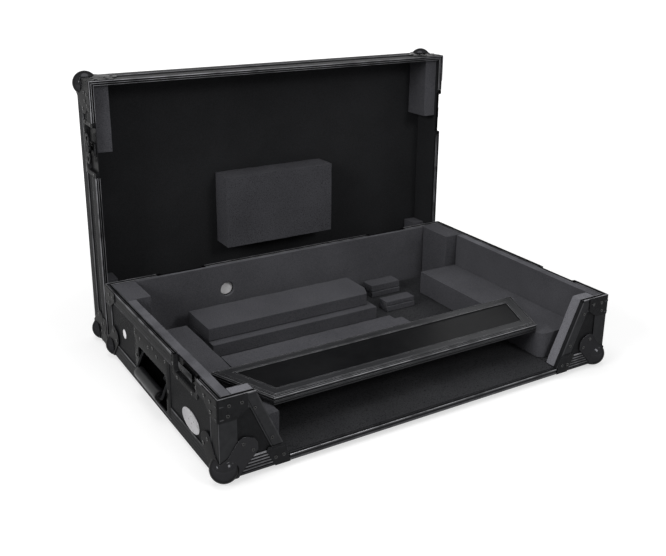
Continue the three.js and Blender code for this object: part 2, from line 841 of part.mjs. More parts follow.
function hookGeometry() {
  const back = pocketFloor - fit;
  const face = back - hookSheet;
  const centre = latchHeight / 2;
  const slotHalf = stemRadius + fit;
  const tongue = block(-hookWidth / 2, hookWidth / 2, face, back, hookRim, hookRim + hookLength);
  const slot = block(
    -slotHalf, slotHalf, face - overrun, back + overrun,
    centre - slotHalf, centre + slotHalf + hookTravel,
  );
  return cut(tongue, slot);
}

// Lid, in its closed attitude: rim at the bottom, outer board on top
function addLid() {
  const sheet = block(
    fromSide(-1, boardOuter), fromSide(1, boardOuter), boardOuter, caseDepth - boardOuter,
    lidBoardInner, lidHeight - boardOuter,
  );
  addPiece(lidGroup, 'lid_board', sheet, laminate);

  const pocketRoom = () => block(
    -pocketHalf - fit, pocketHalf + fit, -overrun, boardInner + overrun, -overrun, latchCup + fit,
  );
  const walls = wallRing(boardOuter, boardInner, rimSeat + fit, lidBoardInner - fit);
  const rooms = signs.map((side) => onWall(pocketRoom(), sideName[side], latchCentre));
  addPiece(lidGroup, 'lid_walls', cut(walls, ...rooms), laminate);

  const posts = signs.flatMap((side) => signs.flatMap((end) => [
    block(
      fromSide(side, 0), fromSide(side, skin), fromEnd(end, 0), fromEnd(end, edgeLeg),
      outerLip, lidHeight,
    ),
    block(
      fromSide(side, 0), fromSide(side, edgeLeg), fromEnd(end, 0), fromEnd(end, skin),
      outerLip, lidHeight,
    ),
  ]));
  const ring = join(
    wallRing(0, skin, lidHeight - edgeLeg, lidHeight),
    wallRing(0, edgeLeg, lidHeight - skin, lidHeight),
    wallRing(0, skin, 0, rimLeg),
    wallRing(0, boardInner, rimSeat - rimWeb, rimSeat),
    wallRing(boardInner - rimLip, boardInner, innerLipDrop, rimSeat),
    ...posts,
  );
  const notches = signs.map((side) => onWall(
    block(
      -latchWidth / 2 - fit, latchWidth / 2 + fit, -overrun, foamOuter, -overrun, latchHeight + fit,
    ), sideName[side], latchCentre,
  ));
  addPiece(lidGroup, 'lid_frame', cut(ring, ...notches), blackAluminium);

  for (const end of signs) {
    for (const side of signs) {
      const name = `${endName[end]}_${sideName[side]}`;
      addPiece(lidGroup, `lid_ball_${name}`, ballCorner(side, end, lidHeight, -1), blackSteel);
      const length = end < 0 ? lidFoamFrontLength : lidFoamRearLength;
      const height = end < 0 ? lidFoamFrontHeight : lidFoamRearHeight;
      const corner = block(
        fromSide(side, foamOuter), fromSide(side, foamOuter + lidFoamWidth),
        fromEnd(end, foamOuter), fromEnd(end, foamOuter + length), lidFoamTop - height, lidFoamTop,
      );
      addPiece(lidGroup, `lid_corner_foam_${name}`, corner, greyFoam);
    }
  }

  const pad = block(padLeft, padRight, padFront, padRear, lidFoamTop - padHeight, lidFoamTop);
  addPiece(lidGroup, 'lid_pad_foam', pad, padFoam);

  for (const side of signs) {
    const wall = sideName[side];
    addOnWall(lidGroup, `latch_dish_${wall}`, latchDishGeometry(), blackSteel, wall, latchCentre);
    addOnWall(lidGroup, `latch_hook_${wall}`, hookGeometry(), blackSteel, wall, latchCentre);
    addOnWall(lidGroup, `latch_wing_${wall}`, wingGeometry(), blackSteel, wall, latchCentre);
  }
}

addBoards();
addBaseFrame();
addSlantStrips();
addCornerPlates();
for (const end of signs) {
  for (const side of signs) {
    const name = `ball_corner_${endName[end]}_${sideName[side]}`;
    addPiece(baseGroup, name, ballCorner(side, end, 0, 1), blackSteel);
  }
}
for (const side of signs) {
  const wall = sideName[side];
  addOnWall(baseGroup, `handle_dish_${wall}`, dishGeometry(), blackSteel, wall, dishCentre);
  addOnWall(baseGroup, `handle_${wall}`, handleGeometry(), rubber, wall, dishCentre);
  addOnWall(baseGroup, `latch_keeper_${wall}`, keeperGeometry(), blackSteel, wall, latchCentre);
}
addBadge();
addBaseFoam();
addPanel();
addLid();

// The lid stands on its rear wall behind the base, its open side to the front
lidGroup.rotation.x = -Math.PI / 2;
lidGroup.position.set(0, caseDepth + lidStandOff, caseDepth);

// Origin at the middle of the footprint, on the surface that the ball corners stand on
const reach = new THREE.Box3().setFromObject(djCase, true);
const middle = reach.getCenter(new THREE.Vector3());
djCase.position.set(-middle.x, -middle.y, -reach.min.z);
djCase.updateMatrixWorld(true);

export default djCase;
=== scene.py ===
"""DJ flight case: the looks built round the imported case, laid out as a Blender add-on."""
import math

import bmesh
import bpy
from mathutils import Matrix, Vector


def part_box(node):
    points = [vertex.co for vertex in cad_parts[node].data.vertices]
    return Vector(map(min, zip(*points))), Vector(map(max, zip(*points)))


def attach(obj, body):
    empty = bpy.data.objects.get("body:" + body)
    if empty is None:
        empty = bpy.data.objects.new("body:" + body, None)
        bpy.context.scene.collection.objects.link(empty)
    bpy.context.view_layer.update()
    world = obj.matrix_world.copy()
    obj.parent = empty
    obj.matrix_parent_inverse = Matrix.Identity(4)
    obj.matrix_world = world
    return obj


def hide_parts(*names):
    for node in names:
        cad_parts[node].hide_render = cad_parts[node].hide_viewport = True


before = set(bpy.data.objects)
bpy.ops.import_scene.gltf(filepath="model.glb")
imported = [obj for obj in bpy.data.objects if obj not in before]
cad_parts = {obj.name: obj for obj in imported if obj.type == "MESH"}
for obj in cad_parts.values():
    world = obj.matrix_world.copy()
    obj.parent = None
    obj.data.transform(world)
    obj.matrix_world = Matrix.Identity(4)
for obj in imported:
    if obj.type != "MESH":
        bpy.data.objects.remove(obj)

bl_info = {
    "name": "DJ Flight Case",
    "version": (1, 0, 0),
    "blender": (4, 5, 0),
    "location": "3D View > Sidebar > Flight Case",
    "description": "Builds the visible pieces of a black flight case round its packed parts",
    "category": "Add Mesh",
}

BASE_LOW, BASE_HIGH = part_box("base_frame")
LID_LOW, LID_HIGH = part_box("lid_frame")
HALF = BASE_HIGH.x
DEPTH = 0.522
BASE_TOP = BASE_HIGH.z - BASE_LOW.z
LID_HEIGHT = LID_HIGH.y - LID_LOW.y
SIDES = {"left": -1, "right": 1}
ENDS = {"front": -1, "rear": 1}
HERE = Matrix.Identity(4)
GAP = 0.0003  # room left between pieces that lie on each other
FACE = 0.0004  # depth of a pressed flange's face in its wall
BASE = Matrix.Translation((0, BASE_LOW.y, BASE_LOW.z))
LID = Matrix.Translation((0, LID_LOW.y, LID_HIGH.z)) @ Matrix.Rotation(-math.pi / 2, 4, "X")


# Settings


def length(name, description, default):
    return bpy.props.FloatProperty(
        name=name, description=description, default=default, min=0, unit="LENGTH", precision=5
    )


def share(name, description, default):
    return bpy.props.FloatProperty(
        name=name, description=description, default=default, min=0, max=1, subtype="FACTOR"
    )


def count(name, description, default):
    return bpy.props.IntProperty(name=name, description=description, default=default, min=0)


def angle(name, description, default):
    return bpy.props.FloatProperty(
        name=name, description=description, default=math.radians(default), subtype="ANGLE"
    )


def power(name, description, default):
    return bpy.props.FloatProperty(
        name=name, description=description, default=default, unit="POWER"
    )


class EdgeSettings(bpy.types.PropertyGroup):
    leg: length("Leg", "Width of each leg of the corner extrusions", 0.030)
    rim_leg: length("Rim leg", "Height of the rim extrusion's outer face", 0.025)
    sheet: length("Sheet", "Thickness of the extrusion", 0.0016)
    board: length("Board edge", "Depth from the outer face to the inner face of the boards", 0.0089)
    seat: length("Seat", "Depth of the groove in the rim", 0.005)
    web: length("Web", "Thickness of the rim's floor", 0.0015)
    lip: length("Lip", "Thickness of the rim's inner lip", 0.0012)
    groove: length("Groove", "Depth of the grooves between the ribs", 0.0007)
    groove_width: length("Groove width", "Width of each groove", 0.0026)
    grooves: count("Grooves", "Grooves on each leg", 4)
    cut_top: length("Cut at the top", "Half width of the front cut at the rim", 0.338)
    cut_foot: length("Cut at the foot", "Half width of the front cut at the sill", 0.282)
    sill: length("Sill height", "Top of the sill", 0.0104)
    sill_depth: length("Sill depth", "Depth of the sill", 0.028)
    strip: length("Strip width", "Width of the slanted cover strips", 0.0215)


class CornerSettings(bpy.types.PropertyGroup):
    radius: length("Ball radius", "Radius of the ball", 0.0230)
    inset: length("Ball inset", "Depth of the ball's centre inside each face", 0.0125)
    lift: length("Lift", "How much deeper the ball's centre sits in the ground face", 0.001)
    sheet: length("Sheet", "Thickness of the three leaves", 0.0014)
    reach: length("Reach", "Reach of each leaf along an edge", 0.065)
    cell: length("Cell", "Cell size of the blend between ball and leaves", 0.0006)
    rounds: count("Rounds", "Rounds of smoothing on the blend", 8)


class PlateSettings(bpy.types.PropertyGroup):
    sheet: length("Sheet", "Thickness of the folded plates", 0.0012)
    height: length("Height", "Height of the plates at the corner", 0.038)
    front: length("Front reach", "Reach along the front and rear", 0.048)
    side: length("Side reach", "Reach along the sides", 0.056)
    front_foot: length("Front foot", "Length of the level lower edge in front", 0.028)
    side_foot: length("Side foot", "Length of the level lower edge at the side", 0.025)
    front_rise: length("Front rise", "Rise of the lower edge in front", 0.014)
    side_rise: length("Side rise", "Rise of the lower edge at the side", 0.021)
    bead: length("Bead", "Height of the pressed beads", 0.0009)


class HandleSettings(bpy.types.PropertyGroup):
    centre: length("Centre", "Distance of the handle from the front", 0.281)
    width: length("Width", "Width of the flange", 0.170)
    height: length("Height", "Height of the flange", 0.105)
    foot: length("Foot", "Height of the flange's lower edge", 0.008)
    opening: length("Opening", "Width of the opening", 0.133)
    opening_height: length("Opening height", "Height of the opening", 0.068)
    opening_foot: length("Opening foot", "Height of the opening's lower edge", 0.0105)
    depth: length("Depth", "Depth of the pan", 0.022)
    sheet: length("Sheet", "Thickness of the dish", 0.0012)
    pivot: length("Pivot height", "Height of the pivot pins", 0.067)
    pivot_depth: length("Pivot depth", "Depth of the pivot pins", 0.008)
    grip: length("Grip height", "Height of the grip at rest", 0.036)
    stand_off: length("Stand-off", "Distance of the grip in front of the wall", 0.005)
    grip_radius: length("Grip radius", "Radius of the grip", 0.010)
    grip_length: length("Grip length", "Length of the grip", 0.104)
    rod: length("Rod radius", "Radius of the bent rod", 0.0032)
    coils: count("Coils", "Turns of each return spring", 5)


class LatchSettings(bpy.types.PropertyGroup):
    centre: length("Centre", "Distance of the latches from the front", 0.128)
    width: length("Width", "Width of keeper and latch dish", 0.103)
    keeper: length("Keeper height", "Height of the keeper", 0.0385)
    dish: length("Dish height", "Height of the latch dish", 0.056)
    border: length("Border", "Width of the flange round the pocket", 0.008)
    sheet: length("Sheet", "Thickness of the pressed steel", 0.0012)
    rear_offset: length("Rear offset", "Distance of the rear keepers from the middle", 0.247)
    wing: length("Wing length", "Length of the turning wing", 0.058)
    wing_width: length("Wing width", "Width of the turning wing", 0.020)
    wing_hole: length("Wing hole", "Radius of the hole in each end of the wing", 0.005)


class FoamSettings(bpy.types.PropertyGroup):
    edge: length("Edge", "Rounding of the cut edges", 0.0010)
    cell: length("Cell", "Spacing of the points on the foam's faces", 0.009)
    uneven: length("Unevenness", "How far the cut faces wander", 0.0012)
    seed: count("Seed", "Seed of the unevenness", 7)
    fill: share("Fill", "How full the foam is", 0.95)


class PanelSettings(bpy.types.PropertyGroup):
    front: length("Front", "Distance of the panel's front edge from the case front", 0.057)
    rear: length("Rear", "Distance of the panel's rear edge from the case front", 0.186)
    front_half: length("Front half width", "Half width at the front edge", 0.279)
    rear_half: length("Rear half width", "Half width at the rear edge", 0.332)
    foot: length("Foot", "Height of the panel's underside", 0.0666)
    height: length("Height", "Thickness of the panel", 0.0157)
    flange: length("Flange", "Width of the frame seen from above", 0.025)


class RivetSettings(bpy.types.PropertyGroup):
    radius: length("Radius", "Radius of a rivet head", 0.0034)
    rise: length("Rise", "Rise of a rivet head", 0.0012)
    sides: count("Sides", "Sides of a rivet head", 14)


class StageSettings(bpy.types.PropertyGroup):
    lens: bpy.props.FloatProperty(
        name="Lens", description="Focal length of the camera", default=47.79, unit="CAMERA"
    )
    azimuth: angle("Azimuth", "Turn of the camera round the case", 31.337)
    elevation: angle("Elevation", "Tilt of the camera below the horizon", 17.943)
    roll: angle("Roll", "Roll of the camera", 0.522)
    shift: bpy.props.FloatProperty(
        name="Shift", description="Vertical shift of the frame", default=-0.0796
    )
    top: power("Top light", "Power of the soft light overhead", 33)
    left: power("Left light", "Power of the soft light on the left", 42)
    key: power("Key light", "Power of the light in front on the right", 20)
    right: power("Right light", "Power of the soft light on the right", 5)
    sky: bpy.props.FloatProperty(
        name="Sky", description="Strength of the light from all round", default=0.25
    )
    floor: share("Floor", "How much light the floor sends back", 0.5)


SETTINGS = {
    "edges": EdgeSettings,
    "corners": CornerSettings,
    "plates": PlateSettings,
    "handles": HandleSettings,
    "latches": LatchSettings,
    "foam": FoamSettings,
    "panel": PanelSettings,
    "rivets": RivetSettings,
    "stage": StageSettings,
}


class CaseSettings(bpy.types.PropertyGroup):
    """Holds one group of settings for each group of pieces."""


CaseSettings.__annotations__ = {
    key: bpy.props.PointerProperty(type=group) for key, group in SETTINGS.items()
}


def settings(key):
    return getattr(bpy.context.scene.flight_case, key)


# Places in the case


def wall_space(space, wall, along):
    """U along the wall, depth inward from its outer face, Z up."""
    turn = {"left": -math.pi / 2, "right": math.pi / 2, "rear": math.pi, "front": 0}[wall]
    place = {
        "left": (-HALF, along, 0),
        "right": (HALF, along, 0),
        "rear": (along, DEPTH, 0),
        "front": (along, 0, 0),
    }[wall]
    return space @ Matrix.Translation(place) @ Matrix.Rotation(turn, 4, "Z")


def corner_space(space, side, end, flip=0):
    """Distances inward from a side face, from an end face and up from the ground face."""
    x = Matrix.Translation((side * HALF, 0, 0)) @ Matrix.Diagonal((-side, 1, 1, 1))
    y = Matrix.Translation((0, 0 if end < 0 else DEPTH, 0)) @ Matrix.Diagonal((1, -end, 1, 1))
    z = Matrix.Translation((0, 0, flip)) @ Matrix.Diagonal((1, 1, -1 if flip else 1, 1))
    return space @ x @ y @ z


# Node helpers


def add_node(tree, kind, inputs=(), **values):
    node = tree.nodes.new(kind)
    for key, value in values.items():
        setattr(node, key, value)
    for key, value in dict(inputs).items():
        socket = node.inputs[key]
        if isinstance(value, bpy.types.NodeSocket):
            tree.links.new(value, socket)
        else:
            socket.default_value = value
    return node


def new_group(name, kind, inputs, outputs):
    """A node group with inputs (name, socket kind, default) and outputs (name, socket kind)."""
    tree = bpy.data.node_groups.new(name, kind)
    for title, socket_kind, default in inputs:
        socket = tree.interface.new_socket(name=title, in_out="INPUT", socket_type=socket_kind)
        if default is not None:
            socket.default_value = default
    for title, socket_kind in outputs:
        tree.interface.new_socket(name=title, in_out="OUTPUT", socket_type=socket_kind)
    return tree, tree.nodes.new("NodeGroupInput").outputs, tree.nodes.new("NodeGroupOutput").inputs


def maths(tree, operation, a, b=0.5, clamp=False):
    return add_node(
        tree, "ShaderNodeMath", {0: a, 1: b}, operation=operation, use_clamp=clamp
    ).outputs[0]


def ranged(tree, value, low, high, to_low=0.0, to_high=1.0):
    return add_node(
        tree,
        "ShaderNodeMapRange",
        {"Value": value, "From Min": low, "From Max": high, "To Min": to_low, "To Max": to_high},
    ).outputs["Result"]


def mixed(tree, share_value, a, b):
    node = add_node(tree, "ShaderNodeMix", {0: share_value}, data_type="RGBA")
    for socket, value in ((node.inputs[6], a), (node.inputs[7], b)):
        if isinstance(value, bpy.types.NodeSocket):
            tree.links.new(value, socket)
        else:
            socket.default_value = (*value, 1) if len(value) == 3 else value
    return node.outputs[2]


# Shader effects shared by the finishes


def patches_group():
    """Slow change of tone over a surface, with a finer second layer."""
    tree, given, made = new_group(
        "surface_patches",
        "ShaderNodeTree",
        [("Scale", "NodeSocketFloat", 9.0), ("Fine Scale", "NodeSocketFloat", 90.0)],
        [("Patch", "NodeSocketFloat"), ("Fine", "NodeSocketFloat")],
    )
    place = add_node(tree, "ShaderNodeTexCoord").outputs["Object"]
    slow = add_node(
        tree, "ShaderNodeTexNoise", {"Vector": place, "Scale": given["Scale"], "Detail": 4.0}
    )
    fine = add_node(
        tree, "ShaderNodeTexNoise", {"Vector": place, "Scale": given["Fine Scale"], "Detail": 3.0}
    )
    tree.links.new(ranged(tree, slow.outputs["Fac"], 0.3, 0.7), made["Patch"])
    tree.links.new(ranged(tree, fine.outputs["Fac"], 0.3, 0.7), made["Fine"])
    return tree


def grain_group():
    """Small pebbles or pores: a height, and a mask of the deepest spots."""
    tree, given, made = new_group(
        "pebble_grain",
        "ShaderNodeTree",
        [("Scale", "NodeSocketFloat", 700.0), ("Spot", "NodeSocketFloat", 0.3)],
        [("Height", "NodeSocketFloat"), ("Spots", "NodeSocketFloat")],
    )
    place = add_node(tree, "ShaderNodeTexCoord").outputs["Object"]
    cells = add_node(
        tree, "ShaderNodeTexVoronoi",
        {"Vector": place, "Scale": given["Scale"], "Smoothness": 0.6}, feature="SMOOTH_F1",
    )
    noise = add_node(
        tree, "ShaderNodeTexNoise", {"Vector": place, "Scale": given["Scale"], "Detail": 2.0}
    )
    height = maths(tree, "ADD", cells.outputs["Distance"], noise.outputs["Fac"])
    tree.links.new(height, made["Height"])
    tree.links.new(
        maths(tree, "LESS_THAN", noise.outputs["Fac"], given["Spot"]), made["Spots"]
    )
    return tree


def wear_highlight_shade_group():
    """Rubbed crests of ribs and rounded edges, lightened partly as wear and partly as painted
    highlight, and painted shade in grooves and recesses.
    """
    tree, given, made = new_group(
        "rubbed_edges_highlights_and_shade",
        "ShaderNodeTree",
        [("Amount", "NodeSocketFloat", 0.5)],
        [("Mask", "NodeSocketFloat"), ("Painted Shade", "NodeSocketFloat")],
    )
    place = add_node(tree, "ShaderNodeTexCoord").outputs["Object"]
    noise = add_node(tree, "ShaderNodeTexNoise", {"Vector": place, "Scale": 34.0, "Detail": 5.0})
    crest = add_node(tree, "ShaderNodeAttribute", attribute_name="crest").outputs["Fac"]
    # a crest mark over 0.55 gives the lighter colour: wear, and painted highlight on crests
    edge = ranged(tree, crest, 0.55, 1.0)
    # a mark below zero, on groove bottoms and recess walls, gives painted shade
    tree.links.new(ranged(tree, crest, -1.0, -0.2, 1.0, 0.0), made["Painted Shade"])
    patchy = ranged(tree, noise.outputs["Fac"], 0.35, 0.62, 0.25, 1.0)
    tree.links.new(
        maths(tree, "MULTIPLY", maths(tree, "MULTIPLY", edge, patchy), given["Amount"], True),
        made["Mask"],
    )
    return tree


def dust_and_top_light_group():
    """Light dust on faces that look up, in uneven drifts; where a finish sets it high, as on the
    liners, it is also painted light on their tops.
    """
    tree, given, made = new_group(
        "settled_dust_and_top_light",
        "ShaderNodeTree",
        [("Amount", "NodeSocketFloat", 0.2)],
        [("Mask", "NodeSocketFloat")],
    )
    place = add_node(tree, "ShaderNodeTexCoord").outputs["Object"]
    facing = add_node(tree, "ShaderNodeNewGeometry").outputs["Normal"]
    up = add_node(tree, "ShaderNodeSeparateXYZ", {"Vector": facing}).outputs["Z"]
    noise = add_node(tree, "ShaderNodeTexNoise", {"Vector": place, "Scale": 17.0, "Detail": 6.0})
    drift = ranged(tree, noise.outputs["Fac"], 0.35, 0.75)
    lying = maths(tree, "MULTIPLY", drift, ranged(tree, up, 0.3, 1.0))
    tree.links.new(maths(tree, "MULTIPLY", lying, given["Amount"], True), made["Mask"])
    return tree


def node_group(name):
    """The node group of that name, made at its first use."""
    return bpy.data.node_groups.get(name) or GROUP_MAKERS[name]()


def effect(tree, name, **inputs):
    node = tree.nodes.new("ShaderNodeGroup")
    node.node_tree = node_group(name)
    for key, value in inputs.items():
        node.inputs[key.replace("_", " ")].default_value = value
    return node.outputs


# near black painted into grooves, recesses and handle pans as shade
PAINTED_SHADE = (0.0012, 0.0012, 0.0013)
DUST = (0.11, 0.108, 0.105)
FINISHES = {
    "black_laminate": dict(
        dark=(0.0115, 0.0117, 0.0124), light=(0.0195, 0.0199, 0.0212), rough=(0.42, 0.56),
        metallic=0.4, edge=0.2, specular=0.04, grain=900, bump=0.00025, spot=0.36,
        spots=(0.0045, 0.0045, 0.005), wear_and_highlight=0.1, worn_and_highlight=(0.05, 0.05, 0.054), dust_and_top_light=0.03,
    ),
    "panel_laminate": dict(
        dark=(0.0062, 0.0064, 0.0071), light=(0.0098, 0.0101, 0.0111), rough=(0.3, 0.4),
        metallic=0.3, edge=0.3, specular=0.08, grain=1500, bump=0.00006, wear_and_highlight=0.1,
        worn_and_highlight=(0.05, 0.05, 0.054), dust_and_top_light=0.04,
    ),
    # the light colour on rib crests is partly wear and partly painted highlight
    "black_extrusion": dict(
        dark=(0.019, 0.0194, 0.0206), light=(0.031, 0.0316, 0.0338), rough=(0.26, 0.4),
        metallic=0.7, edge=0.25, specular=0.15, grain=2600, bump=0.00003, wear_and_highlight=0.75,
        worn_and_highlight=(0.3, 0.3, 0.315), dust_and_top_light=0.02,
    ),
    # bright lines on the panel frame's crests: partly wear, partly painted highlight
    "panel_extrusion": dict(
        dark=(0.026, 0.0265, 0.0285), light=(0.038, 0.0387, 0.0415), rough=(0.32, 0.44),
        metallic=0.3, edge=0.4, specular=0.2, grain=2600, bump=0.00003, wear_and_highlight=1.0,
        worn_and_highlight=(0.55, 0.55, 0.57), dust_and_top_light=0.02,
    ),
    "black_steel": dict(
        dark=(0.0095, 0.0097, 0.0104), light=(0.017, 0.0173, 0.0186), rough=(0.22, 0.36),
        metallic=0.65, edge=0.25, specular=0.2, grain=1500, bump=0.00004, wear_and_highlight=0.6,
        worn_and_highlight=(0.22, 0.22, 0.232), dust_and_top_light=0.02,
    ),
    "black_gloss": dict(
        dark=(0.02, 0.02, 0.0215), light=(0.025, 0.025, 0.027), rough=(0.09, 0.13),
        metallic=0.75, edge=0.15, specular=0.2, grain=1200, bump=0.00003, dust_and_top_light=0.01,
    ),
    "rivet_black": dict(
        dark=(0.003, 0.003, 0.0033), light=(0.007, 0.007, 0.0077), rough=(0.16, 0.24),
        specular=0.35, grain=2400, bump=0.00002, wear_and_highlight=0.3, worn_and_highlight=(0.3, 0.3, 0.31),
    ),
    "cut_foam": dict(
        dark=(0.05, 0.05, 0.0555), light=(0.088, 0.088, 0.0975), rough=(0.92, 1.0), fine=430,
        specular=0.08, grain=620, bump=0.0009, spot=0.37, spots=(0.034, 0.034, 0.038),
        wear_and_highlight=0.25, worn_and_highlight=(0.13, 0.13, 0.14), dust_and_top_light=0.05,
    ),
    # the liners' pale dust is heavy: it is dust and also painted light on their tops
    "lining_foam": dict(
        dark=(0.052, 0.052, 0.0575), light=(0.098, 0.098, 0.108), rough=(0.9, 1.0), fine=500,
        specular=0.08, grain=820, bump=0.0006, spot=0.35, spots=(0.042, 0.042, 0.047),
        wear_and_highlight=0.5, worn_and_highlight=(0.17, 0.17, 0.185), dust_and_top_light=0.45,
        dust_and_top_light_colour=(0.2, 0.2, 0.218),
    ),
    # the cheek liners' foam: lighter than the liner foam, partly for the cut face and partly as
    # painted light where it stands open to the lamps
    "cut_edge_foam_painted_light": dict(
        dark=(0.135, 0.135, 0.148), light=(0.205, 0.205, 0.224), rough=(0.9, 1.0), fine=430,
        specular=0.08, grain=760, bump=0.0008, spot=0.36, spots=(0.06, 0.06, 0.066),
        wear_and_highlight=0.3, worn_and_highlight=(0.19, 0.19, 0.205), dust_and_top_light=0.1,
    ),
    "pad_foam": dict(
        dark=(0.04, 0.04, 0.0445), light=(0.078, 0.078, 0.087), rough=(0.92, 1.0), fine=380,
        specular=0.08, grain=520, bump=0.0009, spot=0.38, spots=(0.022, 0.022, 0.025),
        wear_and_highlight=0.25, worn_and_highlight=(0.12, 0.12, 0.13), dust_and_top_light=0.05,
    ),
    "black_felt": dict(
        dark=(0.015, 0.0154, 0.0163), light=(0.026, 0.0265, 0.0286), rough=(0.94, 1.0), fine=500,
        specular=0.05, grain=1100, bump=0.0004, spot=0.38, spots=(0.009, 0.009, 0.01),
        dust_and_top_light=0.02,
    ),
    "dark_carpet": dict(
        dark=(0.019, 0.0194, 0.0208), light=(0.037, 0.0376, 0.041), rough=(0.94, 1.0), fine=420,
        specular=0.08, grain=480, bump=0.0012, spot=0.4, spots=(0.009, 0.0092, 0.0104),
        dust_and_top_light=0.06,
    ),
    "grip_rubber": dict(
        dark=(0.008, 0.008, 0.009), light=(0.013, 0.013, 0.0145), rough=(0.28, 0.4),
        specular=0.16, grain=1300, bump=0.00006, dust_and_top_light=0.03,
    ),
    "pale_metal": dict(
        dark=(0.33, 0.323, 0.338), light=(0.42, 0.413, 0.428), rough=(0.25, 0.4), metallic=0.3,
        specular=0.5, grain=900, bump=0.00003, wear_and_highlight=0.2, worn_and_highlight=(0.8, 0.8, 0.8),
    ),
    "pale_plug": dict(
        dark=(0.8, 0.79, 0.8), light=(0.9, 0.89, 0.9), rough=(0.5, 0.65),
        specular=0.4, grain=500, bump=0.0003, spot=0.3, spots=(0.6, 0.6, 0.6), wear_and_highlight=0.2,
        worn_and_highlight=(0.9, 0.9, 0.9),
    ),
}


def finish(name):
    """The finish of that name, made once from its row in FINISHES."""
    material = bpy.data.materials.get(name)
    if material:
        return material
    row = FINISHES[name]
    material = bpy.data.materials.new(name)
    material.use_nodes = True
    tree = material.node_tree
    shader = tree.nodes["Principled BSDF"]
    patches = effect(tree, "surface_patches", Scale=8.0, Fine_Scale=row.get("fine", 120.0))
    grain = effect(tree, "pebble_grain", Scale=row["grain"], Spot=row.get("spot", 0.0))
    wear_and_highlight = effect(tree, "rubbed_edges_highlights_and_shade", Amount=row.get("wear_and_highlight", 0.0))
    dust_and_top_light = effect(tree, "settled_dust_and_top_light", Amount=row.get("dust_and_top_light", 0.0))
    slow, fine = (maths(tree, "MULTIPLY", patches[layer], 0.5) for layer in ("Patch", "Fine"))
    tone = maths(tree, "ADD", slow, fine, True)
    colour = mixed(tree, tone, row["dark"], row["light"])
    colour = mixed(tree, grain["Spots"], colour, row.get("spots", row["dark"]))
    # crest colour: wear, and painted highlight where ribs and lips would catch the light
    colour = mixed(tree, wear_and_highlight["Mask"], colour, row.get("worn_and_highlight", row["light"]))
    # lighter on faces that look up: dust, and on the liners also painted top light
    colour = mixed(tree, dust_and_top_light["Mask"], colour, row.get("dust_and_top_light_colour", DUST))
    # painted shade: points marked below zero are painted near black
    colour = mixed(tree, wear_and_highlight["Painted Shade"], colour, PAINTED_SHADE)
    tree.links.new(colour, shader.inputs["Base Color"])
    low, high = row["rough"]
    tree.links.new(ranged(tree, tone, 0.0, 1.0, low, high), shader.inputs["Roughness"])
    # painted shade also takes away metal and reflection, so those places stay black
    outside_painted_shade = maths(tree, "SUBTRACT", 1.0, wear_and_highlight["Painted Shade"], True)
    tree.links.new(
        maths(tree, "MULTIPLY", outside_painted_shade, row.get("metallic", 0.0)), shader.inputs["Metallic"]
    )
    tree.links.new(
        maths(tree, "MULTIPLY", outside_painted_shade, row["specular"]), shader.inputs["Specular IOR Level"]
    )
    shader.inputs["Specular Tint"].default_value = (*(row.get("edge", 1.0),) * 3, 1)
    bump = add_node(
        tree, "ShaderNodeBump",
        {"Height": grain["Height"], "Distance": row["bump"], "Strength": 0.6},
    )
    tree.links.new(bump.outputs["Normal"], shader.inputs["Normal"])
    return material


# Mesh helpers


def loft(loops, caps=True):
    """Vertices and faces of a skin through closed loops of equal length, with end caps."""
    points = [p for loop in loops for p in loop]
    size = len(loops[0])
    faces = []
    for row in range(len(loops) - 1):
        for i in range(size):
            j = (i + 1) % size
            a, b = row * size, (row + 1) * size
            faces.append((a + i, a + j, b + j, b + i))
    if caps:
        faces.append(tuple(range(size)))
        faces.append(tuple((len(loops) - 1) * size + i for i in reversed(range(size))))
    return points, faces


def tube(loops):
    """A closed skin: the last loop is joined back to the first."""
    return loft([*loops, loops[0]], caps=False)


def prism(outline, low, high):
    """A prism on an outline in the first two axes, between two heights."""
    return loft([[(*p, low) for p in outline], [(*p, high) for p in outline]])


def flat(x, y):
    return [(x[0], y[0]), (x[1], y[0]), (x[1], y[1]), (x[0], y[1])]


def box(x, y, z):
    return prism(flat(x, y), *z)


def turned(parts, order):
    """The same skins with their axes put in another order, such as (0, 2, 1)."""
    return [([tuple(p[i] for i in order) for p in points], faces) for points, faces in parts]


def round_rectangle(width, height, radius, depth, middle=0.0, foot=0.0, steps=5):
    """A loop in the wall's plane: U, depth, Z."""
    loop = []
    corners = [(1, 1), (-1, 1), (-1, -1), (1, -1)]
    for turn, (h, v) in enumerate(corners):
        cx = middle + h * (width / 2 - radius)
        cz = foot + height / 2 + v * (height / 2 - radius)
        for step in range(steps + 1):
            a = (turn + step / steps) * math.pi / 2
            loop.append((cx + radius * math.cos(a), depth, cz + radius * math.sin(a)))
    return loop


def oval(wide, tall, sides, centre, depth):
    """A loop round a centre (U, Z) at one depth, from its half width and half height."""
    turns = [2 * math.pi * i / sides for i in range(sides)]
    return [
        (centre[0] + wide * math.cos(a), depth, centre[1] + tall * math.sin(a)) for a in turns
    ]


def disc(radius, sides, centre, steps):
    """Loops of a round bar along the depth, with steps (share of the radius, depth)."""
    return [oval(radius * part, radius * part, sides, centre, depth) for part, depth in steps]


def build_mesh(name, parts, space=HERE, crests=None):
    """One mesh from several skins, put in place, merged and with its faces outwards."""
    points, faces = [], []
    for part_points, part_faces in parts:
        start = len(points)
        points += [space @ Vector(p) for p in part_points]
        faces += [tuple(start + i for i in face) for face in part_faces]
    mesh = bpy.data.meshes.new(name)
    mesh.from_pydata(points, [], faces)
    if crests is not None:
        mesh.attributes.new("crest", "FLOAT", "POINT").data.foreach_set("value", crests)
    work = bmesh.new()
    work.from_mesh(mesh)
    bmesh.ops.remove_doubles(work, verts=work.verts, dist=1e-6)
    bmesh.ops.recalc_face_normals(work, faces=work.faces)
    work.to_mesh(mesh)
    work.free()
    return mesh


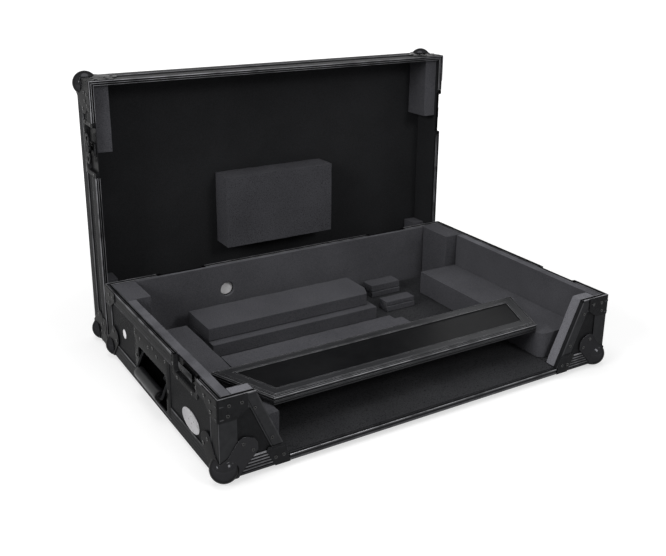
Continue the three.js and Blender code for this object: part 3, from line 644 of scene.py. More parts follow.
def add_piece(name, mesh, material, body, replaced=(), smooth=math.radians(32)):
    """Shows a mesh as a named piece that rides on a body of the case."""
    mesh.materials.clear()
    mesh.materials.append(finish(material))
    mesh.polygons.foreach_set("use_smooth", [True] * len(mesh.polygons))
    mesh.set_sharp_from_angle(angle=smooth)
    piece = bpy.data.objects.new(name, mesh)
    mesh.name = name
    bpy.context.scene.collection.objects.link(piece)
    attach(piece, body)
    if replaced:
        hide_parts(*replaced)
    return piece


def softened(mesh, width, steps=2, limit=math.radians(40)):
    """The mesh with its sharp edges rounded off."""
    work = bmesh.new()
    work.from_mesh(mesh)
    sharp = [e for e in work.edges if len(e.link_faces) == 2 and e.calc_face_angle() > limit]
    bmesh.ops.bevel(
        work, geom=sharp, offset=width, segments=steps, profile=0.5, affect="EDGES",
        clamp_overlap=True,
    )
    bmesh.ops.recalc_face_normals(work, faces=work.faces)
    crested(work)
    work.to_mesh(mesh)
    work.free()
    return mesh


def crested(work):
    """Marks the middle of each rounded edge, where wear and painted highlight show first."""
    crest = work.verts.layers.float.get("crest") or work.verts.layers.float.new("crest")
    low, high = math.radians(26), math.radians(42)
    for vertex in work.verts:
        sharpest = max((e.calc_face_angle(0.0) for e in vertex.link_edges), default=0.0)
        vertex[crest] = min(1.0, max(0.0, (sharpest - low) / (high - low)))


def carried(name, data):
    """A passing object that carries a mesh or a curve."""
    carrier = bpy.data.objects.new(name, data)
    bpy.context.scene.collection.objects.link(carrier)
    return carrier


def plain_mesh(carrier):
    """The evaluated mesh of a passing object, which is then removed."""
    graph = bpy.context.evaluated_depsgraph_get()
    made = bpy.data.meshes.new_from_object(carrier.evaluated_get(graph))
    bpy.data.objects.remove(carrier)
    return made


def through_modifiers(mesh, *changes):
    """The mesh after a row of modifiers, each given as (kind, values)."""
    carrier = carried("carrier", mesh)
    for kind, values in changes:
        modifier = carrier.modifiers.new(kind.lower(), kind)
        for key, value in values.items():
            setattr(modifier, key, value)
    return plain_mesh(carrier)


def cut_by(mesh, cutter):
    """The mesh less a closed cutter mesh."""
    knife = carried("knife", cutter)
    made = through_modifiers(
        mesh, ("BOOLEAN", {"operation": "DIFFERENCE", "object": knife, "solver": "EXACT"})
    )
    bpy.data.objects.remove(knife)
    return made


def trimmed(mesh, point, direction):
    """The mesh cut off flat beyond a plane, with the cut closed."""
    work = bmesh.new()
    work.from_mesh(mesh)
    made = bmesh.ops.bisect_plane(
        work, geom=[*work.verts, *work.edges, *work.faces], plane_co=point,
        plane_no=direction, clear_outer=True,
    )
    edges = [e for e in made["geom_cut"] if isinstance(e, bmesh.types.BMEdge)]
    bmesh.ops.triangle_fill(work, edges=edges, use_beauty=True)
    bmesh.ops.recalc_face_normals(work, faces=work.faces)
    work.to_mesh(mesh)
    work.free()
    return mesh


def refaced(mesh):
    """The mesh with its faces turned outwards after a mirror."""
    work = bmesh.new()
    work.from_mesh(mesh)
    bmesh.ops.recalc_face_normals(work, faces=work.faces)
    work.to_mesh(mesh)
    work.free()
    return mesh


def joined(meshes, space=HERE):
    """One mesh from several, put in place."""
    work = bmesh.new()
    for mesh in meshes:
        work.from_mesh(mesh)
    work.transform(space)
    bmesh.ops.recalc_face_normals(work, faces=work.faces)
    made = bpy.data.meshes.new("joined")
    work.to_mesh(made)
    work.free()
    return made


# Geometry node trees


def run_tree(name, mesh, group, **inputs):
    """A plain mesh from a geometry node group, its inputs set by socket identifier."""
    carrier = carried(name, mesh)
    modifier = carrier.modifiers.new("nodes", "NODES")
    tree = node_group(group)
    modifier.node_group = tree
    known = {s.name: s.identifier for s in tree.interface.items_tree if s.in_out == "INPUT"}
    for key, value in inputs.items():
        modifier[known[key.replace("_", " ")]] = value
    carrier.update_tag()
    made = plain_mesh(carrier)
    if not made.polygons:
        raise RuntimeError(f"{name}: the node tree made no faces")
    return made


def geometry_group(name, inputs):
    """A geometry node group that takes a mesh and a finish besides its own inputs."""
    return new_group(
        name, "GeometryNodeTree",
        [("Geometry", "NodeSocketGeometry", None), *inputs, ("Finish", "NodeSocketMaterial", None)],
        [("Geometry", "NodeSocketGeometry")],
    )


def finished(tree, given, made, geometry):
    """Ends a tree with real faces in the given finish."""
    real = add_node(tree, "GeometryNodeRealizeInstances", {"Geometry": geometry})
    done = add_node(
        tree, "GeometryNodeSetMaterial",
        {"Geometry": real.outputs["Geometry"], "Material": given["Finish"]},
    )
    tree.links.new(done.outputs["Geometry"], made["Geometry"])
    return tree


def on_points(tree, given, made, instance):
    """Ends a tree with one instance on every point, turned the way the point faces."""
    facing = add_node(
        tree, "GeometryNodeInputNamedAttribute", {"Name": "facing"}, data_type="FLOAT_VECTOR"
    )
    aligned = add_node(
        tree, "FunctionNodeAlignRotationToVector", {"Vector": facing.outputs["Attribute"]},
        axis="Z",
    )
    placed = add_node(
        tree, "GeometryNodeInstanceOnPoints",
        {
            "Points": given["Geometry"], "Instance": instance,
            "Rotation": aligned.outputs["Rotation"],
        },
    )
    return finished(tree, given, made, placed.outputs["Instances"])


def rivet_tree():
    """Blind rivets: a ring-shaped head with a sunk middle on every point, facing outwards."""
    tree, given, made = geometry_group("rivet_heads", [
        ("Radius", "NodeSocketFloat", 0.0034), ("Rise", "NodeSocketFloat", 0.0012),
        ("Sides", "NodeSocketInt", 14),
    ])
    big = maths(tree, "MULTIPLY", given["Radius"], 0.62)
    small = maths(tree, "MULTIPLY", given["Radius"], 0.38)
    path = add_node(
        tree, "GeometryNodeCurvePrimitiveCircle", {"Resolution": given["Sides"], "Radius": big}
    )
    section = add_node(
        tree, "GeometryNodeCurvePrimitiveCircle", {"Resolution": 8, "Radius": small}
    )
    ring = add_node(
        tree, "GeometryNodeCurveToMesh",
        {"Curve": path.outputs["Curve"], "Profile Curve": section.outputs["Curve"]},
    )
    middle = add_node(
        tree, "GeometryNodeMeshCircle", {"Vertices": given["Sides"], "Radius": big},
        fill_type="NGON",
    )
    head = add_node(tree, "GeometryNodeJoinGeometry")
    tree.links.new(ring.outputs["Mesh"], head.inputs[0])
    tree.links.new(middle.outputs["Mesh"], head.inputs[0])
    squash = maths(tree, "DIVIDE", given["Rise"], small)
    size = add_node(tree, "ShaderNodeCombineXYZ", {"X": 1.0, "Y": 1.0, "Z": squash})
    shaped = add_node(
        tree, "GeometryNodeTransform",
        {"Geometry": head.outputs[0], "Scale": size.outputs["Vector"]},
    )
    return on_points(tree, given, made, shaped.outputs["Geometry"])


def foam_tree():
    """Cut foam: every face wanders a little, as soft foam does after a knife cut."""
    tree, given, made = geometry_group("cut_foam_faces", [
        ("Uneven", "NodeSocketFloat", 0.0012), ("Seed", "NodeSocketInt", 7),
    ])
    place = add_node(tree, "GeometryNodeInputPosition").outputs["Position"]
    facing = add_node(tree, "GeometryNodeInputNormal").outputs["Normal"]
    noise = add_node(
        tree, "ShaderNodeTexNoise",
        {"Vector": place, "W": given["Seed"], "Scale": 21.0, "Detail": 2.0},
        noise_dimensions="4D",
    )
    wander = ranged(tree, noise.outputs["Fac"], 0.3, 0.75, -1.0, 0.0)
    push = maths(tree, "MULTIPLY", wander, given["Uneven"])
    offset = add_node(
        tree, "ShaderNodeVectorMath", {0: facing, "Scale": push}, operation="SCALE"
    )
    moved = add_node(
        tree, "GeometryNodeSetPosition",
        {"Geometry": given["Geometry"], "Offset": offset.outputs["Vector"]},
    )
    return finished(tree, given, made, moved.outputs["Geometry"])


def spring_tree():
    """Return springs: a wire wound at an even pitch round every point's axis."""
    tree, given, made = geometry_group("return_springs", [
        ("Turns", "NodeSocketFloat", 5.0), ("Radius", "NodeSocketFloat", 0.005),
        ("Wire", "NodeSocketFloat", 0.0007), ("Length", "NodeSocketFloat", 0.009),
    ])
    winding = add_node(
        tree, "GeometryNodeCurveSpiral",
        {
            "Resolution": 16, "Rotations": given["Turns"], "Start Radius": given["Radius"],
            "End Radius": given["Radius"], "Height": given["Length"],
        },
    )
    wire = add_node(
        tree, "GeometryNodeCurvePrimitiveCircle", {"Resolution": 6, "Radius": given["Wire"]}
    )
    coil = add_node(
        tree, "GeometryNodeCurveToMesh",
        {
            "Curve": winding.outputs["Curve"], "Profile Curve": wire.outputs["Curve"],
            "Fill Caps": True,
        },
    )
    return on_points(tree, given, made, coil.outputs["Mesh"])


GROUP_MAKERS = {
    "surface_patches": patches_group, "pebble_grain": grain_group,
    "rubbed_edges_highlights_and_shade": wear_highlight_shade_group, "settled_dust_and_top_light": dust_and_top_light_group,
    "rivet_heads": rivet_tree, "cut_foam_faces": foam_tree, "return_springs": spring_tree,
}


def point_mesh(name, places):
    """A mesh of loose points, each with the way it faces; places are (point, facing)."""
    mesh = bpy.data.meshes.new(name)
    mesh.from_pydata([p for p, _ in places], [], [])
    facing = mesh.attributes.new("facing", "FLOAT_VECTOR", "POINT")
    facing.data.foreach_set("vector", [c for _, f in places for c in f])
    return mesh


# Edge extrusions


def ribs(low, high, number, groove, width, crest=1.0):
    """Points along one ribbed face from low to high: (place, depth, crest)."""
    points = []
    sign = 1 if high > low else -1
    pitch = abs(high - low) / (number + 0.5)
    for i in range(number):
        middle = low + sign * pitch * (i + 0.75)
        # rib edges carry the crest mark for wear and painted highlight; groove bottoms get -0.8,
        # painted shade
        for step, depth, wear_highlight_shade in (
            (-0.5, 0, crest), (-0.34, 1, -0.8), (0.34, 1, -0.8), (0.5, 0, crest * 0.6),
        ):
            points.append((middle + sign * step * width, depth * groove, wear_highlight_shade))
    return points


def angle_profile(e, upright, grooves, crest=0.66, depth=0.5, under=None):
    """Corner extrusion as (depth, height, crest), its outer corner at zero."""
    rounding = e.sheet * 0.6
    groove = e.groove * depth
    face = ribs(upright - 0.0005, rounding, grooves, groove, e.groove_width, crest)
    number = e.grooves if under is None else under
    below = ribs(rounding, e.leg, number, groove, e.groove_width, 0.6)
    edge = e.sheet * 0.3
    # the outer edges marked 0.5 to 1 get wear and painted highlight
    profile = [(e.sheet, upright, 0), (edge, upright, 0.6), (0, upright - edge, 1)]
    profile += [(d, h, c) for h, d, c in face]
    profile += [(0, rounding, 0.5), (rounding * 0.3, rounding * 0.3, 0.8), (rounding, 0, 0.5)]
    profile += below
    profile += [(e.leg, 0, 0.4), (e.leg, e.sheet, 0), (e.sheet, e.sheet, 0)]
    return profile


def rim_profile(e, top, height, lip_drop=0.0005, nose=False):
    """Rim extrusion: outer face, tongue-wide groove and inner lip; top is +1 or -1 for up."""
    seat = e.seat
    edge = e.sheet * 0.3
    middle = (e.sheet + e.board - e.lip) / 2
    floor = -seat + e.web
    # lip tops marked 1 get wear and painted highlight; the groove floor marked -0.7 gets painted
    # shade
    outer = [
        (0, -edge, 1), (edge, 0, 1), (e.sheet - edge, 0, 1), (e.sheet, -edge, 0.6),
        (e.sheet, floor, -0.7), (middle - 0.0008, floor, -0.7),
        (middle - 0.0005, floor + 0.0016, 0.9), (middle + 0.0005, floor + 0.0016, 0.9),
        (middle + 0.0008, floor, -0.7),
        (e.board - e.lip, floor, -0.7), (e.board - e.lip, -lip_drop - edge, 0.3),
        (e.board - e.lip + edge, -lip_drop, 1), (e.board - edge, -lip_drop, 1),
        (e.board, -lip_drop - edge, 0.8), (e.board, -seat, 0),
    ]
    if nose:
        points = [*outer, (0, -seat, 0)]
    else:
        face = ribs(-e.rim_leg + 0.0004, -0.003, 2, e.groove * 0.4, e.groove_width, 0.6)
        points = [*outer, (e.sheet, -seat, 0), (e.sheet, -e.rim_leg, 0), (0, -e.rim_leg, 0.7)]
        points += [(d, h, c) for h, d, c in face]
    return [(d, height + top * h, c) for d, h, c in points]


def sweep(profile, stations):
    """Skin of a profile carried through stations, and the crest value of each point."""
    loops = [[station(d, h) for d, h, _ in profile] for station in stations]
    return loft(loops), [c for _ in stations for *_, c in profile]


def at_corner(side, end):
    return lambda d, h: (side * (HALF - d), d if end < 0 else DEPTH - d, h)


def at_side(side, y):
    return lambda d, h: (side * (HALF - d), y, h)


def at_end(end, x):
    return lambda d, h: (x, d if end < 0 else DEPTH - d, h)


def cut_half(h):
    e = settings("edges")
    return e.cut_foot + (h - e.sill) * (e.cut_top - e.cut_foot) / (BASE_TOP - e.sill)


def at_cut(side, offset):
    sill = settings("edges").sill
    return lambda d, h: (side * (cut_half(max(h, sill)) + offset), d, h)


def add_swept(name, runs, space, body, replaced=()):
    """One piece from several swept runs, each (profile, stations)."""
    parts, crests = [], []
    for profile, stations in runs:
        skin, crest = sweep(profile, stations)
        parts.append(skin)
        crests += crest
    mesh = build_mesh(name, parts, space, crests)
    return add_piece(name, mesh, "black_extrusion", body, replaced)


def post_runs(e, low, high):
    """Upright corner extrusions, ribbed on both outer faces."""
    runs = []
    profile = angle_profile(e, e.leg, e.grooves, 0.62, 0.4, under=0)
    for side in SIDES.values():
        for end in ENDS.values():
            def station(level, side=side, end=end):
                return lambda d, h: (
                    side * (HALF - d), h if end < 0 else DEPTH - h, level
                )
            runs.append((profile, [station(low), station(high)]))
    return runs


class CASE_OT_edges(bpy.types.Operator):
    """Ribbed extrusions along the edges of base and lid, with the sill"""

    bl_idname = "flight_case.edges"
    bl_label = "Edge extrusions"

    def execute(self, context):
        e, h, k = settings("edges"), settings("handles"), settings("latches")
        full = angle_profile(e, e.leg, e.grooves)
        low = angle_profile(e, h.foot - GAP, 1)
        y0, y1 = h.centre - h.width / 2 - GAP, h.centre + h.width / 2 + GAP
        fold = e.sheet * 1.3
        runs = [(full, [at_side(-1, y1), at_corner(-1, 1), at_corner(1, 1), at_side(1, y1)])]
        front = angle_profile(e, e.leg, e.grooves + 1, 1.0, 1.0)
        for side in SIDES.values():
            runs.append((front, [at_cut(side, fold), at_corner(side, -1)]))
            runs.append((full, [at_corner(side, -1), at_side(side, y0)]))
            runs.append((low, [at_side(side, y0), at_side(side, y1)]))
        add_swept("bottom_extrusions", runs, BASE, "base", ["base_frame"])

        rim = rim_profile(e, 1, BASE_TOP)
        nose = rim_profile(e, 1, BASE_TOP, nose=True)
        half = k.width / 2 + GAP
        inner, outer = k.rear_offset - half, k.rear_offset + half
        runs = [(rim, [at_end(1, -inner), at_end(1, inner)])]
        for side in SIDES.values():
            runs.append((rim, [
                at_side(side, k.centre + half), at_corner(side, 1), at_end(1, side * outer),
            ]))
            runs.append((rim, [
                at_cut(side, e.strip + GAP), at_corner(side, -1), at_side(side, k.centre - half),
            ]))
            runs.append((nose, [at_cut(side, 0), at_cut(side, e.strip + GAP)]))
        add_swept("rim_extrusions", runs, BASE, "base", ["base_frame"])
        add_swept("upright_extrusions", post_runs(e, e.leg + GAP, BASE_TOP - e.rim_leg - GAP),
                  BASE, "base", ["base_frame"])

        sheet = e.sheet
        # sill marks: the rubbed front edge also gets painted highlight; the groove bottom gets
        # painted shade
        sill = [
            (sheet, 0.0012, 0), (0.0004, 0.0, 0.6), (0, 0.0005, 0.7),
            *[(d, z, c * 0.6) for z, d, c in ribs(0.001, e.sill, 1, e.groove, e.groove_width)],
            (0, e.sill - 0.0006, 0.9), (0.0005, e.sill, 1), (0.0012, e.sill, 0.4),
            (0.0052, e.sill, 0), (0.0056, e.sill - 0.0004, 0), (0.0062, e.sill - 0.0004, 0),
            (0.0066, e.sill, 0.7), (0.0072, e.sill, 0), (e.sill_depth, e.sill, 0),
            (e.sill_depth, e.sill - 0.0012, 0), (sheet, e.sill - 0.0012, 0),
        ]
        add_swept("sill", [(sill, [at_end(-1, -e.cut_foot), at_end(-1, e.cut_foot)])],
                  BASE, "base", ["base_frame"])

        top = [(d, LID_HEIGHT - z, c) for d, z, c in full]
        notched = [(d, LID_HEIGHT - z, c) for d, z, c in
                   angle_profile(e, LID_HEIGHT - k.dish - GAP, e.grooves - 1)]
        notch = (k.centre - half, k.centre + half)

        def round_ends(profile):
            return [
                (profile, [at_side(-1, y), at_corner(-1, end), at_corner(1, end), at_side(1, y)])
                for end, y in zip(ENDS.values(), notch)
            ]
        walls = [(notched, [at_side(side, y) for y in notch]) for side in SIDES.values()]
        for name, runs in (
            ("edge", round_ends(top) + walls),
            ("rim", round_ends(rim_profile(e, -1, 0))),
            ("upright", post_runs(e, e.rim_leg + GAP, LID_HEIGHT - e.leg - GAP)),
        ):
            add_swept(f"lid_{name}_extrusions", runs, LID, "lid", ["lid_frame"])
        return {"FINISHED"}


class CASE_OT_strips(bpy.types.Operator):
    """Slanted cover strips beside the front cut, each with its foot bracket"""

    bl_idname = "flight_case.strips"
    bl_label = "Slanted strips"

    def execute(self, context):
        e = settings("edges")
        top = BASE_TOP - e.seat - GAP
        fold = e.sheet * 1.1
        line = 0.0004
        # edges marked 0.4 to 0.7 get wear and painted highlight; the fine line marked -0.5 gets
        # painted shade
        profile = [
            (0.0004, 0, 0.66), (0, 0.0005, 0.6), (0, e.board, 0), (fold, e.board, 0),
            (fold, e.sheet, 0), (e.strip, e.sheet, 0), (e.strip, 0.0004, 0.4),
            (e.strip - 0.0004, 0, 0.7), (e.strip - 0.0026, 0, 0), (e.strip - 0.0030, line, -0.5),
            (e.strip - 0.0034, 0, 0),
        ]
        for name, side in SIDES.items():
            def station(level, side=side):
                return lambda w, d: (side * (cut_half(level) + w), d, level)
            skin, crests = sweep(profile, [station(e.leg + GAP), station(top)])
            foot = [(w, d, c) for w, d, c in profile if w <= fold + 0.0001]
            lower, more = sweep(foot, [station(e.sill + GAP), station(e.leg + GAP)])
            mesh = build_mesh(f"slanted_strip_{name}", [skin, lower], BASE, crests + more)
            add_piece(f"slanted_strip_{name}", mesh, "black_extrusion", "base",
                      [f"slant_strip_{name}"])
            lap, tall, wide, low = 0.006, 0.035, 0.033, 0.026
            inner = cut_half(tall) - lap / 2
            outline = [
                (e.cut_foot - GAP, 0.0), (e.cut_foot + low, 0.0),
                (inner + wide, tall - lap), (inner + wide - lap / 2, tall), (inner, tall),
            ]
            bracket = prism([(side * x, z) for x, z in outline], -0.0015, -GAP)
            skins = turned([bracket], (0, 2, 1))
            hem = [(inner + 0.001, tall - 0.005), (inner + wide - 0.003, tall - 0.005),
                   (inner + wide - 0.003, tall - 0.0035), (inner + 0.001, tall - 0.0035)]
            skins += turned([prism([(side * x, z) for x, z in hem], -0.0020, -0.0014)], (0, 2, 1))
            mesh = softened(build_mesh(f"strip_foot_{name}", skins, BASE), 0.0003)
            add_piece(f"strip_foot_{name}", mesh, "black_steel", "base",
                      [f"foot_bracket_{name}"])
        return {"FINISHED"}


def ball_blank(c):
    """One ball corner in corner distances: a ball blended into three leaves, hollow behind."""
    out, near = -GAP - c.sheet, -GAP
    shares = [(0.14, 0), (0, 0.14), (0, 0.46), (0.21, 0.58), (0.48, 0.95), (0.58, 1.0), (0.68, 1),
              (0.9, 0.9), (0.98, 0.77), (0.98, 0.57), (0.65, 0.21), (0.46, 0)]
    leaf = [(u * c.reach if u else out, v * c.reach if v else out) for u, v in shares]
    work = bmesh.new()
    bmesh.ops.create_uvsphere(work, u_segments=64, v_segments=40, radius=c.radius)
    bmesh.ops.translate(work, verts=work.verts, vec=(c.inset, c.inset, c.inset + c.lift))
    ball = bpy.data.meshes.new("ball")
    work.to_mesh(ball)
    work.free()
    room = c.radius + c.inset + 0.005
    block = build_mesh("block", [box((near, room), (near, room), (near, room))])
    ball = cut_by(ball, block)
    leaves = [
        build_mesh("leaf", turned([prism(leaf, out, near)], order))
        for order in ((0, 2, 1), (2, 0, 1), (0, 1, 2))
    ]
    return through_modifiers(
        joined([ball, *leaves]),
        ("REMESH", {"mode": "VOXEL", "voxel_size": c.cell}),
        ("SMOOTH", {"factor": 0.5, "iterations": c.rounds}),
        ("DECIMATE", {"ratio": 0.16}),
    )


class CASE_OT_balls(bpy.types.Operator):
    """Ball corners of base and lid, each pressed from one sheet with three leaves"""

    bl_idname = "flight_case.balls"
    bl_label = "Ball corners"

    def execute(self, context):
        raw = ball_blank(settings("corners"))
        for name, side in SIDES.items():
            for end_name, end in ENDS.items():
                for where, space, flip in (("ball_corner", BASE, 0), ("lid_ball", LID, LID_HEIGHT)):
                    node = f"{where}_{end_name}_{name}"
                    mesh = raw.copy()
                    mesh.transform(corner_space(space, side, end, flip))
                    add_piece(f"{node}_shell", refaced(mesh), "black_gloss",
                              "base" if where == "ball_corner" else "lid", [node],
                              math.radians(60))
        return {"FINISHED"}


def folded_plate(p, top):
    """Plate folded round a corner, as a grid in corner distances, with two pressed beads."""
    out = -GAP - p.sheet
    bend = 0.0022

    def foot(reach, level, rise, full):
        if reach <= level:
            return top - p.height
        return top - p.height + rise * (reach - level) / (full - level)

    columns = []
    steps = 26
    for i in range(steps + 1):
        reach = p.side * (1 - i / steps)
        if reach > bend:
            columns.append(((0, reach), (1, 0), foot(reach, p.side_foot, p.side_rise, p.side)))
    for i in range(5):
        a = i / 4 * math.pi / 2
        columns.append((
            (bend - bend * math.cos(a), bend - bend * math.sin(a)),
            (math.cos(a), math.sin(a)), top - p.height,
        ))
    for i in range(steps + 1):
        reach = p.front * i / steps
        if reach > bend:
            columns.append(((reach, 0), (0, 1), foot(reach, p.front_foot, p.front_rise, p.front)))
    rows = 34
    outer, inner, crests = [], [], []
    for (x, y), (nx, ny), low in columns:
        for j in range(rows + 1):
            z = low + (top - low) * j / rows
            bead = 0
            for middle in (0.3, 0.86):
                level = top - p.height * middle
                away = abs(z - level) / 0.0022
                near = max(x, y)
                if away < 1 and near < 0.012:
                    fade = min(1, (0.012 - near) / 0.004)
                    bead = max(bead, p.bead * fade * (0.5 + 0.5 * math.cos(math.pi * away)))
            depth = out - bead * 0.6
            outer.append((x + nx * depth, y + ny * depth, z))
            # beads get the crest mark, for wear and painted highlight; points within 2 mm of the
            # bend get -0.5, which darkens a line down the corner
            crests.append(0.95 * bead / p.bead if near > 0.002 else -0.5)
            inner.append((x - nx * GAP, y - ny * GAP, z))
    size = rows + 1
    total = len(outer)
    faces = []
    for c in range(len(columns) - 1):
        for r in range(rows):
            a, b = c * size + r, (c + 1) * size + r
            faces.append((a, b, b + 1, a + 1))
            faces.append((total + a, total + a + 1, total + b + 1, total + b))
        a, b = c * size, (c + 1) * size
        faces.append((a, total + a, total + b, b))
        faces.append((a + rows, b + rows, total + b + rows, total + a + rows))
    last = (len(columns) - 1) * size
    for r in range(rows):
        faces.append((r, r + 1, total + r + 1, total + r))
        faces.append((last + r, total + last + r, total + last + r + 1, last + r + 1))
    return (outer + inner, faces), crests + [0.0] * total


class CASE_OT_plates(bpy.types.Operator):
    """Folded plates over the rim corners of base and lid"""

    bl_idname = "flight_case.plates"
    bl_label = "Corner plates"

    def execute(self, context):
        p = settings("plates")
        for name, side in SIDES.items():
            for end_name, end in ENDS.items():
                for title, body, space, top, node in (
                    ("rim", "base", BASE, BASE_TOP, [f"corner_plate_{end_name}_{name}"]),
                    ("lid", "lid", LID, 0, ()),
                ):
                    (points, faces), crests = folded_plate(p, top - 0.0008)
                    if body == "lid":
                        points = [(x, y, -z) for x, y, z in points]
                    place = corner_space(space, side, end)
                    mesh = build_mesh("plate", [(points, faces)], place, crests)
                    add_piece(f"{title}_corner_plate_{end_name}_{name}", mesh, "black_steel",
                              body, node)
        return {"FINISHED"}


class CASE_OT_handles(bpy.types.Operator):
    """Recessed handles: dish, bent rod, grip and return springs"""

    bl_idname = "flight_case.handles"
    bl_label = "Handles"

    def execute(self, context):
        h = settings("handles")
        back, turn, draft = FACE + h.sheet, 0.0016, 0.004
        for name in SIDES:
            space = wall_space(BASE, name, h.centre)

            def ring(grow, depth, radius):
                return round_rectangle(
                    h.opening + grow, h.opening_height + grow, radius, depth, 0,
                    h.opening_foot - grow / 2,
                )

            def flange(shrink, depth):
                return round_rectangle(
                    h.width - shrink, h.height - shrink, 0.007, depth, 0, h.foot + shrink / 2
                )
            loops = [
                ring(-draft - 0.004, h.depth - h.sheet, 0.005),
                ring(-draft, h.depth - h.sheet - 0.002, 0.006),
                ring(-turn * 0.5, FACE + turn * 1.2, 0.007),
                ring(turn * 0.4, FACE + turn * 0.3, 0.0075),
                ring(turn * 1.6, FACE, 0.008),
                ring(0.0046, FACE, 0.009),
                flange(0.0016, FACE), flange(0.0004, FACE + 0.0004), flange(0, FACE + h.sheet),
                ring(turn * 2.2 + h.sheet * 2, back, 0.009), ring(0.0014, back + 0.002, 0.007),
                ring(0.0014, h.depth - 0.001, 0.007), ring(-0.002, h.depth, 0.006),
            ]
            # the pan's floor and walls, marked -1, are painted in shade; the rolled rim and flange
            # edge get wear and painted highlight
            wear_highlight_shade = (-1, -1, -1, 0.4, 0.3, 0, 0.3, 0.75, 0, 0, 0, 0, 0)
            crests = [value for value, loop in zip(wear_highlight_shade, loops) for _ in loop]
            mesh = build_mesh(f"handle_tray_{name}", [loft(loops)], space, crests)
            add_piece(f"handle_tray_{name}", mesh, "black_steel", "base",
                      [f"handle_dish_{name}"])
            self.swing(h, name, space)
        return {"FINISHED"}

    def swing(self, h, name, space):
        """The moving part, rod and grip, and the springs round the rod's ends."""
        leg = h.opening / 2 - h.rod - h.sheet
        pin = h.opening / 2 - GAP
        path = [
            (-pin, h.pivot_depth, h.pivot), (-leg, h.pivot_depth, h.pivot),
            (-leg, -h.stand_off, h.grip), (leg, -h.stand_off, h.grip),
            (leg, h.pivot_depth, h.pivot), (pin, h.pivot_depth, h.pivot),
        ]
        curve = bpy.data.curves.new("rod", "CURVE")
        curve.dimensions = "3D"
        curve.bevel_depth = h.rod
        curve.bevel_resolution = 4
        curve.use_fill_caps = True
        line = curve.splines.new("POLY")
        rounded = bend_corners(path, 0.006, 6)
        line.points.add(len(rounded) - 1)
        for point, place in zip(line.points, rounded):
            point.co = (*place, 1)
        mesh = plain_mesh(carried("rod", curve))
        mesh.transform(space)
        body = f"handle_{name}"
        add_piece(f"handle_rod_{name}", mesh, "black_steel", body, [body],
                  math.radians(50))

        half, radius = h.grip_length / 2, h.grip_radius
        shape = [(-half, 0.0), (-half, 0.55), (-half + 0.0008, 0.6), (-half + 0.0008, 0.82),
                 (-half, 0.86), (-half + 0.0005, 0.96), (-half + 0.002, 1.0)]
        for i in range(1, 16):
            u = -half + 0.002 + (2 * half - 0.004) * i / 16
            shape.append((u, 1.0 - 0.035 * math.sin(math.pi * i / 16)))
        shape += [(-u, r) for u, r in reversed(shape[:7])]
        sides = 36
        loops = [
            [
                (
                    u,
                    -h.stand_off + max(r, 0.02) * radius * math.cos(2 * math.pi * i / sides),
                    h.grip + max(r, 0.02) * radius * math.sin(2 * math.pi * i / sides),
                )
                for i in range(sides)
            ]
            for u, r in shape
        ]
        mesh = build_mesh(f"handle_grip_{name}", [loft(loops)], space)
        add_piece(f"handle_grip_{name}", mesh, "grip_rubber", body, [body])

        turn = space.to_3x3()
        places = [
            (space @ Vector((s * (leg - 0.0125), h.pivot_depth, h.pivot)), turn @ Vector((s, 0, 0)))
            for s in (-1, 1)
        ]
        mesh = run_tree(
            f"return_springs_{name}", point_mesh("spring_points", places), "return_springs",
            Turns=float(h.coils), Radius=h.rod + 0.0014, Wire=0.0007, Length=0.0085,
            Finish=finish("black_steel"),
        )
        add_piece(f"return_springs_{name}", mesh, "black_steel", "base")


def bend_corners(path, radius, steps):
    """The path with each inner corner replaced by a smooth bend."""
    points = [Vector(p) for p in path]
    made = [points[0]]
    for before, corner, after in zip(points, points[1:], points[2:]):
        room = min(radius, (before - corner).length / 2, (after - corner).length / 2)
        start = corner + (before - corner).normalized() * room
        stop = corner + (after - corner).normalized() * room
        for i in range(steps + 1):
            t = i / steps
            made.append(start * (1 - t) ** 2 + corner * 2 * t * (1 - t) + stop * t * t)
    made.append(points[-1])
    return made


def pressed_tray(k, foot, top):
    """Flange and pocket pressed from one sheet, cut off flat at the rim."""
    sheet, floor = k.sheet, 0.0077
    pocket = k.width - 2 * k.border
    rise = top - foot

    def ring(grow, depth, radius, low=0.0):
        return round_rectangle(
            pocket + grow, 2 * (rise - k.border) + grow, radius, depth, 0,
            foot + k.border - grow / 2 + low,
        )

    def flange(shrink, depth):
        return round_rectangle(
            k.width - shrink, 2 * rise - shrink, 0.005, depth, 0, foot + shrink / 2
        )

    return loft([
        ring(-0.0045, floor - sheet, 0.004), ring(-0.003, floor - sheet - 0.0012, 0.005),
        ring(-0.0018, FACE + 0.0016, 0.0055), ring(-0.0004, FACE + 0.0003, 0.006),
        ring(0.001, FACE, 0.0065),
        flange(0.0014, FACE), flange(0.0003, FACE + 0.0004), flange(0, FACE + sheet),
        ring(0.0014, FACE + sheet, 0.0065), ring(0.0004, FACE + sheet + 0.0012, 0.006),
        ring(-0.0008, floor - 0.001, 0.005), ring(-0.0024, floor, 0.004),
    ])


